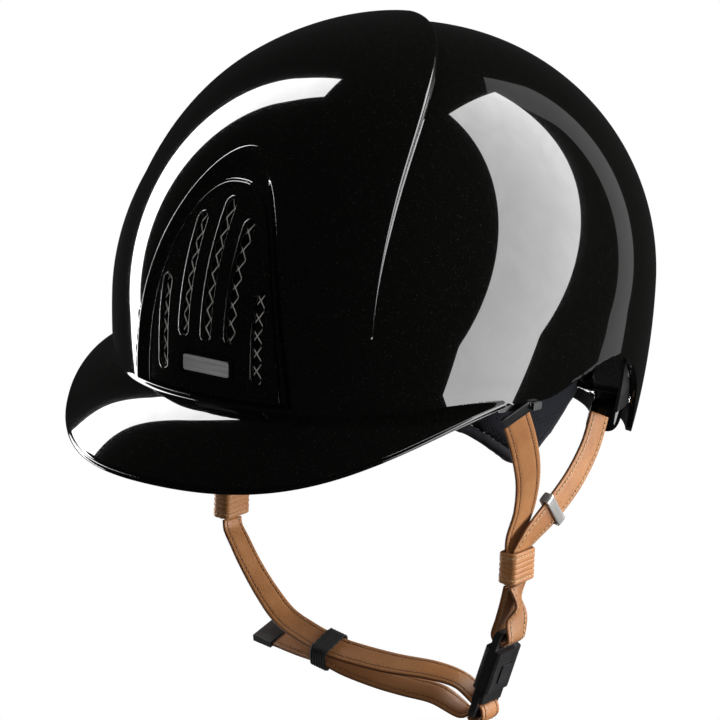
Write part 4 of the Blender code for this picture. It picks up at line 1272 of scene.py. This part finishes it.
def pad_cloth(name, colour, light, scale):
    """Knitted spacer mesh: rows of small round openings, painted near black as the shade inside them."""
    material, tree, shader = new_material(name, Roughness=0.9, Specular_IOR_Level=0.12,
                                          Sheen_Weight=0.08, Sheen_Roughness=0.35)
    where = object_space(tree)
    holes = add_node(tree, "ShaderNodeTexVoronoi", {"Vector": where, "Scale": scale, "Randomness": 0.25})
    knit_and_opening_shade = ranged(tree, holes.outputs["Distance"], 0.2, 0.42)
    tint = mixed(tree, noise(tree, where, scale * 5, 2), colour, light)
    # Painted shade: the openings are painted near black for the shade inside them; the same mask bumps
    # the knit.
    tree.links.new(mixed(tree, knit_and_opening_shade, (0.003, 0.003, 0.004, 1), tint), shader.inputs["Base Color"])
    texture(tree, shader, 0.6, 0.0004, knit_and_opening_shade)
    return material


def cover(name, node, voxel, smoothing, growth):
    """A copy of the node's shape, remeshed evenly, smoothed and grown by this much."""
    piece = new_object(name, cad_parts[node].data.copy())
    use_modifier(piece, "REMESH", mode="VOXEL", voxel_size=voxel * MM)
    use_modifier(piece, "SMOOTH", factor=0.5, iterations=smoothing)
    use_modifier(piece, "DISPLACE", strength=growth * MM, mid_level=0)
    return piece


def puffed_pad(name, node, voxel):
    """A cloth cover over the node's shape, inflated, with its movement capped."""
    pad = cover(name, node, voxel, 2, PAD_GROWTH)
    rest = [corner.co.copy() for corner in pad.data.vertices]
    select_only(pad)
    cloth = pad.modifiers.new("Cloth", "CLOTH")
    cloth.settings.use_pressure = True
    cloth.settings.uniform_pressure_force = PAD_PRESSURE
    cloth.settings.effector_weights.gravity = 0
    cloth.settings.quality = 5
    for number in range(1, PAD_FRAMES + 1):
        bpy.context.scene.frame_set(number)
    bpy.ops.object.modifier_apply(modifier="Cloth")
    bpy.context.scene.frame_set(1)
    for corner, before in zip(pad.data.vertices, rest):
        moved = corner.co - before
        if moved.length > PAD_MOVEMENT * MM:
            corner.co = before + moved.normalized() * PAD_MOVEMENT * MM
    use_modifier(pad, "SUBSURF", levels=1, render_levels=1)
    tidy_faces(pad)
    return pad


SPACER_MESH = pad_cloth("black_spacer_mesh", (0.004, 0.0045, 0.007, 1), (0.012, 0.013, 0.018, 1), 520)
for node, voxel in (("brow_pad", 3.0), ("nape_pad", 3.0), ("crown_pad", 3.5), ("side_pad_left", 2.4),
                    ("side_pad_right", 2.4)):
    pad = puffed_pad(f"{node}_cover", node, voxel)
    finish_piece(pad, SPACER_MESH, node)
VELVET = webbing("navy_black_velvet", (0.004, 0.0045, 0.007, 1), (0.014, 0.015, 0.021, 1))
for name in ("left", "right"):
    node = f"pad_binding_{name}"
    binding = cover(f"{node}_tape", node, 1.1, 4, 0.7)
    tidy_faces(binding)
    finish_piece(binding, VELVET, node)

# ---------------------------------------------------------------------------------------------
# Studio. A long tilted softbox on the wearer's left, a narrow one on the right, a faint strip
# behind, a soft fill from the front that shows in no reflection, and a plain white floor and
# surroundings.
# ---------------------------------------------------------------------------------------------
LAMP_DISTANCE = 2.4
ROOM_LIGHT = 0.02
FLOOR_SIZE, FLOOR_GAP = 16, 0.002


def softbox(name, bearing, height, tilt, length, width, brightness):
    """A softbox aimed at the helmet. The angles are in degrees, and tilt turns its long side up
    from the level; its sides are shares of its distance."""
    bearing, height, tilt = (math.radians(value) for value in (bearing, height, tilt))
    outward = bearing_direction(bearing, height)
    across = Vector((math.cos(bearing), math.sin(bearing), 0))
    above = outward.cross(across) * -1
    above = above if above.z > 0 else -above
    long_way = across * math.cos(tilt) + above * math.sin(tilt)
    bpy.ops.object.light_add(type="AREA", location=outward * LAMP_DISTANCE)
    lamp = bpy.context.object
    lamp.name = name
    lamp.rotation_euler = Matrix((long_way, outward.cross(long_way), outward)).transposed().to_euler()
    lamp.data.shape = "RECTANGLE"
    lamp.data.size, lamp.data.size_y = length * LAMP_DISTANCE, width * LAMP_DISTANCE
    lamp.data.energy = brightness * math.pi * lamp.data.size * lamp.data.size_y
    lamp.visible_camera = False
    return lamp


softbox("softbox_left", 124.5, 15.0, 57.0, 2.36, 0.54, 9.0)
softbox("softbox_right", -92.5, 18.0, 102.0, 2.45, 0.25, 14.0)
fill = softbox("front_fill", 25.0, 30.0, 0.0, 1.2, 1.2, 0.9)
fill.visible_glossy = False
softbox("rear_strip", 162.0, 10.0, 72.0, 1.5, 0.2, 0.55)

# The room is plain white to the camera and gives only a faint light.
world = bpy.data.worlds.new("studio")
bpy.context.scene.world = world
world.use_nodes = True
sky = world.node_tree
background = sky.nodes["Background"]
background.inputs["Color"].default_value = (1, 1, 1, 1)
seen = add_node(sky, "ShaderNodeLightPath").outputs["Is Camera Ray"]
lit = add_node(sky, "ShaderNodeMath", {0: ROOM_LIGHT, 1: seen}, operation="MAXIMUM")
sky.links.new(lit.outputs[0], background.inputs["Strength"])

start_piece()
floor_place = (0, 0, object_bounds()[0].z - FLOOR_GAP)
bpy.ops.mesh.primitive_plane_add(size=FLOOR_SIZE, location=floor_place)
floor = bpy.context.object
floor.name = "floor"
bpy.ops.object.transform_apply(location=True)
# The floor is white to the camera and clear to everything else, so it throws no light back.
white = bpy.data.materials.new("white_floor")
white.use_nodes = True
tree = white.node_tree
tree.nodes.remove(tree.nodes["Principled BSDF"])
seen = add_node(tree, "ShaderNodeLightPath").outputs["Is Camera Ray"]
clear = add_node(tree, "ShaderNodeBsdfTransparent").outputs["BSDF"]
paper = add_node(tree, "ShaderNodeEmission", {"Strength": 1.0}).outputs["Emission"]
blend = add_node(tree, "ShaderNodeMixShader", {0: seen, 1: clear, 2: paper})
tree.links.new(blend.outputs["Shader"], tree.nodes["Material Output"].inputs["Surface"])
floor.data.materials.append(white)
